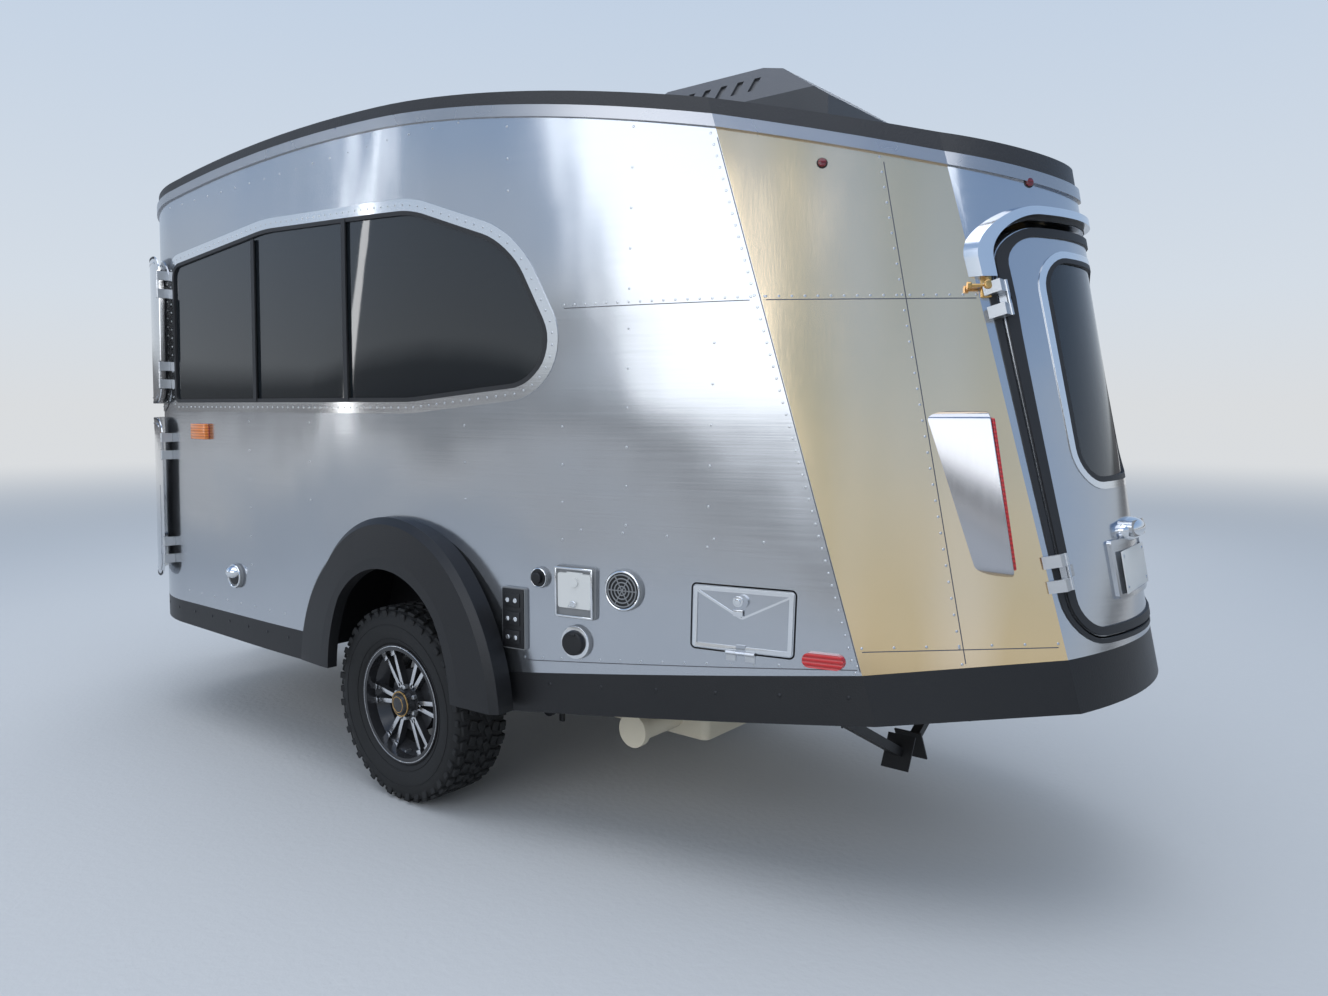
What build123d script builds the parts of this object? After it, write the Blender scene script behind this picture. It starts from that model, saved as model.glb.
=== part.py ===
"""A small riveted aluminium travel caravan with a rear hatch, in millimetres.

+X points to the rear, +Y to the kerb side, +Z up. The origin is on the
ground under the middle of the whole length.
"""

from build123d import *
from math import atan2, cos, degrees, radians, sin, sqrt, tan
import os

os.makedirs("parts", exist_ok=True)

# Running gear
AXLE_X = 175.0
TYRE_R = 366.0
TYRE_W = 235.0
TYRE_OUTER_Y = 990.0
RIM_R = 205.0
RIM_LIP_R = 216.0
RIM_W = 190.0
SPOKES = 6
HUB_R = 62.0
WHEEL_Y = TYRE_OUTER_Y - TYRE_W / 2

# Body outline in plan: stations at two reference heights, joined by straight rules
LOW_Z = 350.0
HIGH_Z = 2620.0
NOSE_X = -1975.0
CORNER_R = 600.0
SIDE_Y_LOW = 1030.0
SIDE_Y_HIGH = 981.0
BEND_X_LOW = -825.0
BEND_X_HIGH = 221.0
CREASE_LOW = (2031.0, 695.0)
CREASE_HIGH = (1310.0, 723.0)
EDGE_LOW = (2494.0, 400.0)
EDGE_HIGH = (1842.0, 345.0)
TAIL_X_LOW = 2560.0
TAIL_X_HIGH = 2120.0

# Body in side view
ROCKER_TOP_Z = 570.0
ROCKER_NOSE_H = 95.0
ROCKER_H = 132.0
ROCKER_TAIL_H = 142.0
UPSWEEP_X = 675.0
UPSWEEP_SLOPE = 0.122
ROOF_LINE_Z = 2440.0
ROOF_LINE_X = -325.0
ROOF_LINE_R = 9430.0

# Shell build-up
WALL_T = 42.0
ROCKER_T = 30.0
FLOOR_T = 50.0
RAIL_H = 36.0
RAIL_PROUD = 9.0
ROOF_EDGE_H = 40.0
ROOF_T = 45.0
ROOF_CAMBER = 12.0
GLASS_T = 6.0
GLASS_INSET = 5.0
GAP = 0.3
BIG = 6000.0


def between(low, high, z):
    """The value at height z on a straight rule from LOW_Z to HIGH_Z."""
    return low + (high - low) * (z - LOW_Z) / (HIGH_Z - LOW_Z)


def crease_at(z):
    """Where the side wall folds to the quarter panel, as x and y."""
    return (between(CREASE_LOW[0], CREASE_HIGH[0], z), between(CREASE_LOW[1], CREASE_HIGH[1], z))


def edge_at(z):
    """Where the quarter panel folds to the tail, as x and y."""
    return (between(EDGE_LOW[0], EDGE_HIGH[0], z), between(EDGE_LOW[1], EDGE_HIGH[1], z))


def rocker_top_at(x):
    """Height of the rocker's top edge."""
    return ROCKER_TOP_Z + max(0.0, x - UPSWEEP_X) * UPSWEEP_SLOPE


def roof_line_at(x):
    """Height of the arched line where the walls meet the roof rail."""
    return ROOF_LINE_Z - ROOF_LINE_R + sqrt(ROOF_LINE_R**2 - (x - ROOF_LINE_X) ** 2)


def circle_meets_line(centre, radius, start, end):
    """The point where a line through start and end meets a circle, nearest to start."""
    dx, dy = end[0] - start[0], end[1] - start[1]
    fx, fy = start[0] - centre[0], start[1] - centre[1]
    a, b, c = dx * dx + dy * dy, 2 * (fx * dx + fy * dy), fx * fx + fy * fy - radius * radius
    root = sqrt(b * b - 4 * a * c)
    share = min(((-b - root) / (2 * a), (-b + root) / (2 * a)), key=abs)
    return (start[0] + share * dx, start[1] + share * dy)


class Plan:
    """Points and arcs of the body's half plan at height z, moved inwards by inset."""

    def __init__(self, z, inset):
        side_y = between(SIDE_Y_LOW, SIDE_Y_HIGH, z)
        bend_x = between(BEND_X_LOW, BEND_X_HIGH, z)
        crease, edge = crease_at(z), edge_at(z)
        tail_x = between(TAIL_X_LOW, TAIL_X_HIGH, z)
        self.z = z
        self.corner_centre = (NOSE_X + CORNER_R, side_y - CORNER_R)
        self.corner_r = CORNER_R - inset
        self.nose = (NOSE_X + inset, side_y - CORNER_R)
        self.corner = (NOSE_X + CORNER_R, side_y - inset)
        self.bend = (bend_x, side_y - inset)
        drop = side_y - crease[1]
        side_r = ((crease[0] - bend_x) ** 2 + drop**2) / (2 * drop)
        side_centre = (bend_x, side_y - side_r)
        run = (edge[0] - crease[0], edge[1] - crease[1])
        length = sqrt(run[0] ** 2 + run[1] ** 2)
        shift = (run[1] / length * inset, -run[0] / length * inset)
        start = (crease[0] + shift[0], crease[1] + shift[1])
        end = (edge[0] + shift[0], edge[1] + shift[1])
        self.crease = circle_meets_line(side_centre, side_r - inset, start, end)
        sagitta = tail_x - edge[0]
        tail_r = (sagitta**2 + edge[1] ** 2) / (2 * sagitta)
        self.edge = circle_meets_line((tail_x - tail_r, 0), tail_r - inset, end, start)
        self.tail = (tail_x - inset, 0)

    def corner_mid(self):
        turn = self.corner_r * sin(radians(45))
        return (self.corner_centre[0] - turn, self.corner_centre[1] + turn)


def street(point):
    """The same point on the street side."""
    return (point[0], -point[1])


def side_wire(plan):
    Line(street(plan.corner), street(plan.bend))
    TangentArc(street(plan.bend), street(plan.crease), tangent=(1, 0))


def whole_plan(z, inset):
    """A closed face with the body's whole plan."""
    plan = Plan(z, inset)
    with BuildSketch(Plane.XY.offset(z)) as face:
        with BuildLine():
            Line(street(plan.nose), plan.nose)
            ThreePointArc(plan.nose, plan.corner_mid(), plan.corner)
            Line(plan.corner, plan.bend)
            TangentArc(plan.bend, plan.crease, tangent=(1, 0))
            Line(plan.crease, plan.edge)
            ThreePointArc(plan.edge, plan.tail, street(plan.edge))
            Line(street(plan.edge), street(plan.crease))
            TangentArc(street(plan.bend), street(plan.crease), tangent=(1, 0))
            Line(street(plan.bend), street(plan.corner))
            ThreePointArc(street(plan.corner), street(plan.corner_mid()), street(plan.nose))
        make_face()
    return face.sketch


def side_face(z, outer_inset, inner_inset):
    """The street side wall in plan, between two insets."""
    out, back = Plan(z, outer_inset), Plan(z, inner_inset)
    with BuildSketch(Plane.XY.offset(z)) as face:
        with BuildLine():
            side_wire(out)
            Line(street(out.crease), street(back.crease))
            TangentArc(street(back.bend), street(back.crease), tangent=(1, 0))
            Line(street(back.bend), street(back.corner))
            Line(street(back.corner), street(out.corner))
        make_face()
    return face.sketch


def front_face(z, outer_inset, inner_inset):
    """The front wall and both rounded corners in plan, between two insets."""
    out, back = Plan(z, outer_inset), Plan(z, inner_inset)
    with BuildSketch(Plane.XY.offset(z)) as face:
        with BuildLine():
            for plan in (out, back):
                Line(street(plan.nose), plan.nose)
                ThreePointArc(plan.nose, plan.corner_mid(), plan.corner)
                ThreePointArc(street(plan.nose), street(plan.corner_mid()), street(plan.corner))
            Line(out.corner, back.corner)
            Line(street(out.corner), street(back.corner))
        make_face()
    return face.sketch


def quarter_face(z, outer_inset, inner_inset):
    """The street quarter panel in plan, between two insets."""
    out, back = Plan(z, outer_inset), Plan(z, inner_inset)
    with BuildSketch(Plane.XY.offset(z)) as face:
        with BuildLine():
            Polyline(*[street(p) for p in (out.crease, out.edge, back.edge, back.crease)], close=True)
        make_face()
    return face.sketch


def tail_face(z, outer_inset, inner_inset):
    """The curved tail in plan, between two insets."""
    out, back = Plan(z, outer_inset), Plan(z, inner_inset)
    with BuildSketch(Plane.XY.offset(z)) as face:
        with BuildLine():
            ThreePointArc(street(out.edge), out.tail, out.edge)
            Line(out.edge, back.edge)
            ThreePointArc(back.edge, back.tail, street(back.edge))
            Line(street(back.edge), street(out.edge))
        make_face()
    return face.sketch


def ruled(face_at, *insets):
    """A straight-ruled solid between one plan face at LOW_Z and the same face at HIGH_Z."""
    return loft([face_at(LOW_Z, *insets), face_at(HIGH_Z, *insets)], ruled=True)


def hull(inset=0.0):
    """The whole body as one ruled solid from LOW_Z to HIGH_Z."""
    return ruled(whole_plan, inset)


def below_rocker(shift=0.0):
    """Everything under the rocker's top edge, moved up by shift."""
    x0, x1 = -BIG / 2, BIG / 2
    with BuildSketch(Plane.XZ) as mask:
        Polygon(
            (x0, 0),
            (x0, ROCKER_TOP_Z + shift),
            (UPSWEEP_X, ROCKER_TOP_Z + shift),
            (x1, rocker_top_at(x1) + shift),
            (x1, 0),
            align=None,
        )
    return extrude(mask.sketch, amount=BIG / 2, both=True)


def above_roof_line(shift=0.0):
    """Everything over the arched line where walls meet the roof rail, moved up by shift."""
    x0, x1 = -BIG / 2, BIG / 2
    with BuildSketch(Plane.XZ) as mask:
        with BuildLine():
            start, end = (x0, roof_line_at(x0) + shift), (x1, roof_line_at(x1) + shift)
            ThreePointArc(start, (ROOF_LINE_X, ROOF_LINE_Z + shift), end)
            Polyline(end, (x1, BIG / 2), (x0, BIG / 2), start)
        make_face()
    return extrude(mask.sketch, amount=BIG / 2, both=True)


def side_prism(sketch, y_near, y_far):
    """A sketch on the XZ plane pushed from y_near to y_far."""
    return extrude(sketch.moved(Location((0, y_near, 0))), amount=y_far - y_near, dir=(0, 1, 0))


def both_sides(solid):
    """A street-side solid together with its mirror image on the kerb side."""
    return [solid, solid.mirror(Plane.XZ)]


def save(part, label):
    """Label a finished piece and write its STEP file."""
    part.label = label
    export_step(part, f"parts/{label}.step")


# Wheel arch in side view: half widths at the foot and the top of each outline
ARCH_FOOT_Z = 400.0
ARCH_TOP_Z = 900.0
ARCH_FOOT_W = 470.0
ARCH_TOP_W = 330.0
ARCH_R = 130.0
# Flare: corners and arc middles of its outer edge and its lip, from the front foot over the top
FLARE_ROOT = (
    (-385.0, 400.0), (-330.0, 675.0), (-175.0, 877.0), (220.0, 1070.0), (617.0, 877.0), (735.0, 675.0), (783.0, 400.0)
)
FLARE_LIP = (
    (-158.0, 400.0), (-130.0, 620.0), (-76.0, 745.0), (205.0, 885.0), (485.0, 745.0), (540.0, 620.0), (566.0, 400.0)
)
# Sections of the flare from inside the wall outwards: y and the share of the way to the lip
FLARE_SECTIONS = ((960.0, 0.0), (1024.0, 0.0), (1043.0, 0.13), (1052.0, 0.78))
WELL_T = 14.0
WELL_INNER_Y = 715.0

# Street window: x, z of its corners and the radius at each
STREET_WINDOW = (
    ((-1385.0, 1482.0), 30.0),
    ((-1385.0, 2090.0), 60.0),
    ((-600.0, 2165.0), 900.0),
    ((330.0, 2130.0), 400.0),
    ((752.0, 1985.0), 60.0),
    ((930.0, 1640.0), 70.0),
    ((800.0, 1530.0), 60.0),
    ((300.0, 1482.0), 900.0),
)
KERB_FRONT_WINDOW = (
    ((-1385.0, 1482.0), 30.0),
    ((-1385.0, 2090.0), 60.0),
    ((-1205.0, 2110.0), 60.0),
    ((-1205.0, 1482.0), 30.0),
)
KERB_REAR_WINDOW = (
    ((-240.0, 1482.0), 60.0),
    ((-240.0, 2150.0), 60.0),
    ((330.0, 2130.0), 400.0),
    ((752.0, 1985.0), 60.0),
    ((930.0, 1640.0), 70.0),
    ((800.0, 1530.0), 60.0),
    ((300.0, 1482.0), 900.0),
)

# Entry door on the kerb side
DOOR_FRONT_X = -1095.0
DOOR_REAR_X = -425.0
DOOR_FOOT_Z = 590.0
DOOR_TOP_Z = 2290.0
DOOR_R = 90.0
DOOR_GAP = 6.0
DOOR_WINDOW = ((-1000.0, 1482.0), (-520.0, 2120.0))

# Front windows
FRONT_WINDOW_FOOT_Z = 1482.0
FRONT_WINDOW_TOP_Z = 2090.0
FRONT_WINDOW_HALF_W = 390.0

# Rear hatch in rear view
HATCH_FOOT_Z = 824.0
HATCH_TOP_Z = 1990.0
HATCH_TOP_DROP = 16.0
HATCH_FOOT_HALF = 352.0
HATCH_TOP_HALF = 326.0
HATCH_R = 112.0
HATCH_GAP = 6.0
HATCH_WINDOW_FOOT_Z = 1250.0
HATCH_WINDOW_TOP_Z = 1890.0
HATCH_WINDOW_HALF = 215.0
HATCH_WINDOW_R = 95.0


def rounded_outline(corners):
    """A closed face on the XZ plane from corners given as ((x, z), radius)."""
    with BuildSketch(Plane.XZ) as face:
        with BuildLine():
            FilletPolyline(*[point for point, _ in corners], radius=[r for _, r in corners], close=True)
        make_face()
    return face.sketch


def arch_outline(foot_w, top_w, top_z, radius):
    """The wheel arch's outline on the XZ plane, open below at ARCH_FOOT_Z."""
    with BuildSketch(Plane.XZ) as arch:
        with BuildLine():
            corners = [
                (AXLE_X - foot_w, ARCH_FOOT_Z),
                (AXLE_X - top_w, top_z),
                (AXLE_X + top_w, top_z),
                (AXLE_X + foot_w, ARCH_FOOT_Z),
            ]
            FilletPolyline(*corners, radius=radius)
            Line(corners[-1], corners[0])
        make_face()
    return arch.sketch


def rear_outline(foot_z, top_z, foot_half, top_half, radius, grow=0.0):
    """A rounded upright shape on the YZ plane."""
    with BuildSketch(Plane.YZ) as shape:
        Polygon((-foot_half, foot_z), (foot_half, foot_z), (top_half, top_z), (-top_half, top_z), align=None)
        fillet(shape.vertices(), radius)
        if grow:
            offset(amount=grow, mode=Mode.REPLACE)
    return shape.sketch


rocker_mask = below_rocker()
roof_mask = above_roof_line()


def wall(face_at, outer_inset=0.0, thickness=WALL_T):
    """One body panel between the rocker's top and the roof line."""
    return ruled(face_at, outer_inset, outer_inset + thickness) - rocker_mask - roof_mask


arch_cut = side_prism(arch_outline(ARCH_FOOT_W, ARCH_TOP_W, ARCH_TOP_Z, ARCH_R), -BIG / 2, -WELL_INNER_Y)
side_wall = wall(side_face)
side_blank = side_wall - arch_cut
street_window = side_prism(rounded_outline(STREET_WINDOW), -BIG / 2, 0)

with BuildSketch(Plane.XZ) as door_shape:
    with Locations(((DOOR_FRONT_X + DOOR_REAR_X) / 2, (DOOR_FOOT_Z + DOOR_TOP_Z) / 2)):
        RectangleRounded(DOOR_REAR_X - DOOR_FRONT_X, DOOR_TOP_Z - DOOR_FOOT_Z, DOOR_R)
door_opening = side_prism(offset(door_shape.sketch, DOOR_GAP), 0, BIG / 2)
kerb_windows = [
    side_prism(rounded_outline(KERB_FRONT_WINDOW), 0, BIG / 2),
    side_prism(rounded_outline(KERB_REAR_WINDOW), 0, BIG / 2),
]
with BuildPart() as wall_kerb:
    add(side_blank.mirror(Plane.XZ))
    add(door_opening, mode=Mode.SUBTRACT)
    add(kerb_windows, mode=Mode.SUBTRACT)
save(wall_kerb.part, "wall_kerb")

# Front wall with a middle window and two corner windows
front_blank = wall(front_face)
window_mid_z = (FRONT_WINDOW_FOOT_Z + FRONT_WINDOW_TOP_Z) / 2
window_tall = FRONT_WINDOW_TOP_Z - FRONT_WINDOW_FOOT_Z
with BuildSketch(Plane.YZ) as middle_shape:
    with Locations((0, window_mid_z)):
        RectangleRounded(2 * FRONT_WINDOW_HALF_W, window_tall, 70)
middle_window = extrude(middle_shape.sketch, amount=-BIG / 2)
# A slanting prism across the rounded corner, seen from 45 degrees ahead of the side
corner_plane = Plane(
    origin=(NOSE_X + CORNER_R, -(SIDE_Y_LOW - CORNER_R), window_mid_z),
    x_dir=(sin(radians(45)), -cos(radians(45)), 0),
    z_dir=(-cos(radians(45)), -sin(radians(45)), 0),
)
CORNER_WINDOW_W = 640.0
with BuildSketch(corner_plane) as corner_shape:
    RectangleRounded(CORNER_WINDOW_W, window_tall, 70)
corner_window = extrude(corner_shape.sketch, amount=BIG / 3)
front_windows = [middle_window] + both_sides(corner_window)
with BuildPart() as wall_front:
    add(front_blank)
    add(front_windows, mode=Mode.SUBTRACT)
save(wall_front.part, "wall_front")

# Quarter panels and the tail around the hatch
quarter_blank = wall(quarter_face)
with BuildPart() as quarter_street:
    add(quarter_blank)
save(quarter_street.part, "quarter_street")
quarter_kerb = quarter_street.part.mirror(Plane.XZ)
save(quarter_kerb, "quarter_kerb")

hatch_face = rear_outline(HATCH_FOOT_Z, HATCH_TOP_Z - HATCH_TOP_DROP, HATCH_FOOT_HALF, HATCH_TOP_HALF, HATCH_R)
hatch_hole_face = rear_outline(HATCH_FOOT_Z, HATCH_TOP_Z, HATCH_FOOT_HALF, HATCH_TOP_HALF, HATCH_R, HATCH_GAP)
hatch_prism = extrude(hatch_face, amount=BIG / 2)
hatch_hole = extrude(hatch_hole_face, amount=BIG / 2)
hatch_window = extrude(
    rear_outline(HATCH_WINDOW_FOOT_Z, HATCH_WINDOW_TOP_Z, HATCH_WINDOW_HALF, HATCH_WINDOW_HALF, HATCH_WINDOW_R),
    amount=BIG / 2,
)
tail_blank = wall(tail_face)
with BuildPart() as tail_surround:
    add(tail_blank)
    add(hatch_hole, mode=Mode.SUBTRACT)
save(tail_surround.part, "tail_surround")

with BuildPart() as hatch_blank:
    add(tail_blank)
    add(hatch_prism, mode=Mode.INTERSECT)
    add(hatch_window, mode=Mode.SUBTRACT)


# Glass fills each window cut, a little behind the outer skin
side_glass = ruled(side_face, GLASS_INSET, GLASS_INSET + GLASS_T)
kerb_glass = side_glass.mirror(Plane.XZ)
front_glass = ruled(front_face, GLASS_INSET, GLASS_INSET + GLASS_T)
tail_glass = ruled(tail_face, GLASS_INSET, GLASS_INSET + GLASS_T)
with BuildPart() as windows_street:
    add(side_glass & street_window)
save(windows_street.part, "windows_street")
with BuildPart() as windows_kerb:
    for window in kerb_windows:
        add(kerb_glass & window)
save(windows_kerb.part, "windows_kerb")
with BuildPart() as windows_front:
    for window in front_windows:
        add(front_glass & window)
save(windows_front.part, "windows_front")
with BuildPart() as hatch_glass:
    add(tail_glass & hatch_window)
save(hatch_glass.part, "hatch_glass")

# Entry door, as thick as the wall, with its own window
with BuildSketch(Plane.XZ) as door_window_shape:
    (x0, z0), (x1, z1) = DOOR_WINDOW
    with Locations(((x0 + x1) / 2, (z0 + z1) / 2)):
        RectangleRounded(x1 - x0, z1 - z0, 60)
door_window = side_prism(door_window_shape.sketch, 0, BIG / 2)
door_prism = side_prism(door_shape.sketch, 0, BIG / 2)
with BuildPart() as door_blank:
    add(side_wall.mirror(Plane.XZ))
    add(door_prism, mode=Mode.INTERSECT)
    add(door_window, mode=Mode.SUBTRACT)
with BuildPart() as door_glass:
    add(kerb_glass & door_window)
save(door_glass.part, "door_glass")

# Rail round the roof's edge and the crowned roof panel
rail_ring = hull(-RAIL_PROUD) - hull(WALL_T)
above_rail = above_roof_line(RAIL_H)
below_rail = Box(BIG, BIG, BIG) - roof_mask
with BuildPart() as roof_rail:
    add(rail_ring)
    add(above_rail, mode=Mode.SUBTRACT)
    add(below_rail, mode=Mode.SUBTRACT)
save(roof_rail.part, "roof_rail")

ROOF_PIVOT_Z = ROOF_LINE_Z - ROOF_LINE_R


def roof_slab(edge_r, half_w, camber, turn=34.0):
    """A piece of dome: level with edge_r at half_w from the middle, higher by camber in the middle."""
    plane = Plane.YZ.rotated((0, -turn / 2, 0))
    plane = Plane(origin=(ROOF_LINE_X, 0, ROOF_PIVOT_Z), x_dir=(0, 1, 0), z_dir=plane.z_dir)
    with BuildSketch(plane) as section:
        with BuildLine():
            left, right = (-half_w, edge_r), (half_w, edge_r)
            ThreePointArc(left, (0, edge_r + camber), right)
            foot_r = ROOF_LINE_R + RAIL_H
            Polyline(right, (half_w, foot_r), (-half_w, foot_r), left)
        make_face()
    return revolve(section.sketch, axis=Axis((ROOF_LINE_X, 0, ROOF_PIVOT_Z), (0, 1, 0)), revolution_arc=turn)


slab_half_w = SIDE_Y_HIGH + 20
roof_outer = roof_slab(ROOF_LINE_R + RAIL_H + ROOF_EDGE_H, slab_half_w, ROOF_CAMBER)
roof_inner = roof_slab(ROOF_LINE_R + RAIL_H + ROOF_EDGE_H - ROOF_T + 6, slab_half_w, ROOF_CAMBER)
ceiling_void = roof_inner & hull(WALL_T)
with BuildPart() as roof:
    add(hull(GAP))
    add(roof_outer, mode=Mode.INTERSECT)
    add(ceiling_void, mode=Mode.SUBTRACT)
save(roof.part, "roof")


# Black rocker ring under the walls, cut at the wheel arches
def below_skirt():
    """Everything under the rocker's lower edge."""
    x0, x1 = NOSE_X, TAIL_X_LOW
    foot_nose = ROCKER_TOP_Z - ROCKER_NOSE_H
    foot_knee = ROCKER_TOP_Z - ROCKER_H
    foot_tail = rocker_top_at(x1) - ROCKER_TAIL_H
    with BuildSketch(Plane.XZ) as mask:
        Polygon(
            (x0 - 50, 0), (x0 - 50, foot_nose), (UPSWEEP_X, foot_knee), (x1 + 50, foot_tail), (x1 + 50, 0), align=None
        )
    return extrude(mask.sketch, amount=BIG / 2, both=True)


skirt_mask = below_skirt()
above_rocker = Box(BIG, BIG, BIG) - below_rocker(0)
rocker_ring = hull(0) - hull(ROCKER_T)
with BuildPart() as rocker:
    add(rocker_ring)
    add(above_rocker, mode=Mode.SUBTRACT)
    add(skirt_mask, mode=Mode.SUBTRACT)
    add([arch_cut, arch_cut.mirror(Plane.XZ)], mode=Mode.SUBTRACT)
save(rocker.part, "rocker")

# Floor inside the rocker ring, cut round the wheel wells
well_outer = side_prism(
    arch_outline(ARCH_FOOT_W + WELL_T, ARCH_TOP_W + WELL_T, ARCH_TOP_Z + WELL_T, ARCH_R + WELL_T),
    -BIG / 2,
    -WELL_INNER_Y + WELL_T,
)
floor_hull = hull(ROCKER_T)
above_floor = Box(BIG, BIG, BIG) - below_rocker(-GAP)
floor_under = below_rocker(-FLOOR_T)
with BuildPart() as floor:
    add(floor_hull)
    add(above_floor, mode=Mode.SUBTRACT)
    add(floor_under, mode=Mode.SUBTRACT)
    add([well_outer, well_outer.mirror(Plane.XZ)], mode=Mode.SUBTRACT)
save(floor.part, "floor")

# Wheel wells: open below and outwards
well_block = well_outer & hull(WALL_T)
well_space = side_prism(arch_outline(ARCH_FOOT_W, ARCH_TOP_W, ARCH_TOP_Z, ARCH_R), -BIG / 2, -WELL_INNER_Y)
with BuildPart() as well_street:
    add(well_block)
    add(well_space, mode=Mode.SUBTRACT)
    add(floor_under, mode=Mode.SUBTRACT)
save(well_street.part, "well_street")
well_kerb = well_street.part.mirror(Plane.XZ)
save(well_kerb, "well_kerb")

def flare_outline(share):
    """The flare's outline in side view, moved by a share of the way from its root to its lip."""
    points = [
        (root[0] + share * (lip[0] - root[0]), root[1] + share * (lip[1] - root[1]))
        for root, lip in zip(FLARE_ROOT, FLARE_LIP)
    ]
    with BuildSketch(Plane.XZ) as outline:
        with BuildLine():
            for k in (0, 2, 4):
                ThreePointArc(*points[k : k + 3])
            Line(points[-1], points[0])
        make_face()
    return outline.sketch


# Flares stand proud of the wall round each arch
flare_solid = loft(
    [flare_outline(share).moved(Location((0, -y, 0))) for y, share in FLARE_SECTIONS], ruled=True
)
flare_mouth = side_prism(flare_outline(1.0), -BIG / 2, 0)
with BuildPart() as flare_street:
    add(flare_solid)
    add(flare_mouth, mode=Mode.SUBTRACT)
    add(hull(-GAP), mode=Mode.SUBTRACT)
save(flare_street.part, "flare_street")
save(flare_street.part.mirror(Plane.XZ), "flare_kerb")

# Chassis: two rails, cross members and the A-frame
RAIL_Y = 480.0
RAIL_W = 50.0
CHASSIS_H = 110.0
CHASSIS_TOP_Z = ROCKER_TOP_Z - FLOOR_T - GAP
CHASSIS_FRONT_X = -1900.0
CHASSIS_REAR_X = 2150.0
CROSS_MEMBERS = (-1875.0, -1100.0, -420.0, 560.0, 1300.0, 2125.0)
CROSS_W = 50.0
CROSS_H = 70.0
A_FRAME_TOP_Z = 466.0
A_FRAME_H = 90.0
A_FRAME_ROOT_X = -1250.0
A_FRAME_TIP_X = -2340.0
A_FRAME_TIP_Y = 62.0
COUPLER_X = -2460.7
BALL_R = 25.4
BALL_CLEAR = 0.2
JACK_X = -2372.0

# Axle under the rails with trailing arms
AXLE_TUBE = 76.0
AXLE_TUBE_X = AXLE_X - 150.0
ARM_W = 40.0
ARM_Y = 655.0
SPINDLE_R = 20.0
SPINDLE_FIT = 0.3
DRUM_R = 120.0
DRUM_INNER_Y = 735.0


def chassis_side():
    """A frame rail's outline from the side, bent up with the floor."""
    rise_end = (CHASSIS_REAR_X - UPSWEEP_X) * UPSWEEP_SLOPE
    with BuildSketch(Plane.XZ) as rail:
        Polygon(
            (CHASSIS_FRONT_X, CHASSIS_TOP_Z),
            (UPSWEEP_X, CHASSIS_TOP_Z),
            (CHASSIS_REAR_X, CHASSIS_TOP_Z + rise_end),
            (CHASSIS_REAR_X, CHASSIS_TOP_Z + rise_end - CHASSIS_H),
            (UPSWEEP_X, CHASSIS_TOP_Z - CHASSIS_H),
            (CHASSIS_FRONT_X, CHASSIS_TOP_Z - CHASSIS_H),
            align=None,
        )
    return rail.sketch


rail_solid = side_prism(chassis_side(), -RAIL_Y - RAIL_W / 2, -RAIL_Y + RAIL_W / 2)
arm_run = A_FRAME_TIP_X - A_FRAME_ROOT_X
arm_rise = RAIL_Y - A_FRAME_TIP_Y
arm_length = sqrt(arm_run**2 + arm_rise**2)
arm_mid = ((A_FRAME_ROOT_X + A_FRAME_TIP_X) / 2, -(RAIL_Y + A_FRAME_TIP_Y) / 2)
arm_turn = degrees(atan2(arm_rise, arm_run))
with BuildPart() as a_frame_arm:
    with BuildSketch(Plane.XY.offset(A_FRAME_TOP_Z - A_FRAME_H)):
        with Locations(Location(arm_mid + (0,), (0, 0, arm_turn))):
            Rectangle(arm_length, RAIL_W)
    extrude(amount=A_FRAME_H)
with BuildPart() as chassis:
    add(rail_solid)
    add(rail_solid.mirror(Plane.XZ))
    add(a_frame_arm.part)
    add(a_frame_arm.part.mirror(Plane.XZ))
    for x in CROSS_MEMBERS:
        rise = max(0.0, x - UPSWEEP_X) * UPSWEEP_SLOPE
        with Locations((x, 0, CHASSIS_TOP_Z + rise - CHASSIS_H / 2)):
            Box(CROSS_W, 2 * RAIL_Y, CROSS_H)
save(chassis.part, "chassis")

axle_tube_z = CHASSIS_TOP_Z - CHASSIS_H - AXLE_TUBE / 2
arm_reach = AXLE_X - AXLE_TUBE_X
arm_drop = TYRE_R - axle_tube_z
BACKING_T = 6.0
with BuildPart() as axle:
    with Locations((AXLE_TUBE_X, 0, axle_tube_z)):
        Box(AXLE_TUBE, 2 * ARM_Y, AXLE_TUBE)
    for side in (-1, 1):
        arm_face = side * (ARM_Y + ARM_W / 2)
        with BuildSketch(Plane.XZ.offset(-arm_face)):
            with Locations(Location(((AXLE_X + AXLE_TUBE_X) / 2, (axle_tube_z + TYRE_R) / 2))):
                SlotCenterToCenter(sqrt(arm_reach**2 + arm_drop**2), AXLE_TUBE, degrees(atan2(arm_drop, arm_reach)))
        extrude(amount=side * ARM_W)
        with BuildSketch(Plane.XZ.offset(-arm_face)):
            with Locations((AXLE_X, TYRE_R)):
                Circle(SPINDLE_R)
        extrude(amount=-side * (WHEEL_Y - ARM_Y - ARM_W / 2))
        with BuildSketch(Plane.XZ.offset(-side * (DRUM_INNER_Y - 6 - BACKING_T))):
            with Locations((AXLE_X, TYRE_R)):
                Circle(DRUM_R)
        extrude(amount=-side * BACKING_T)
save(axle.part, "axle")

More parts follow.
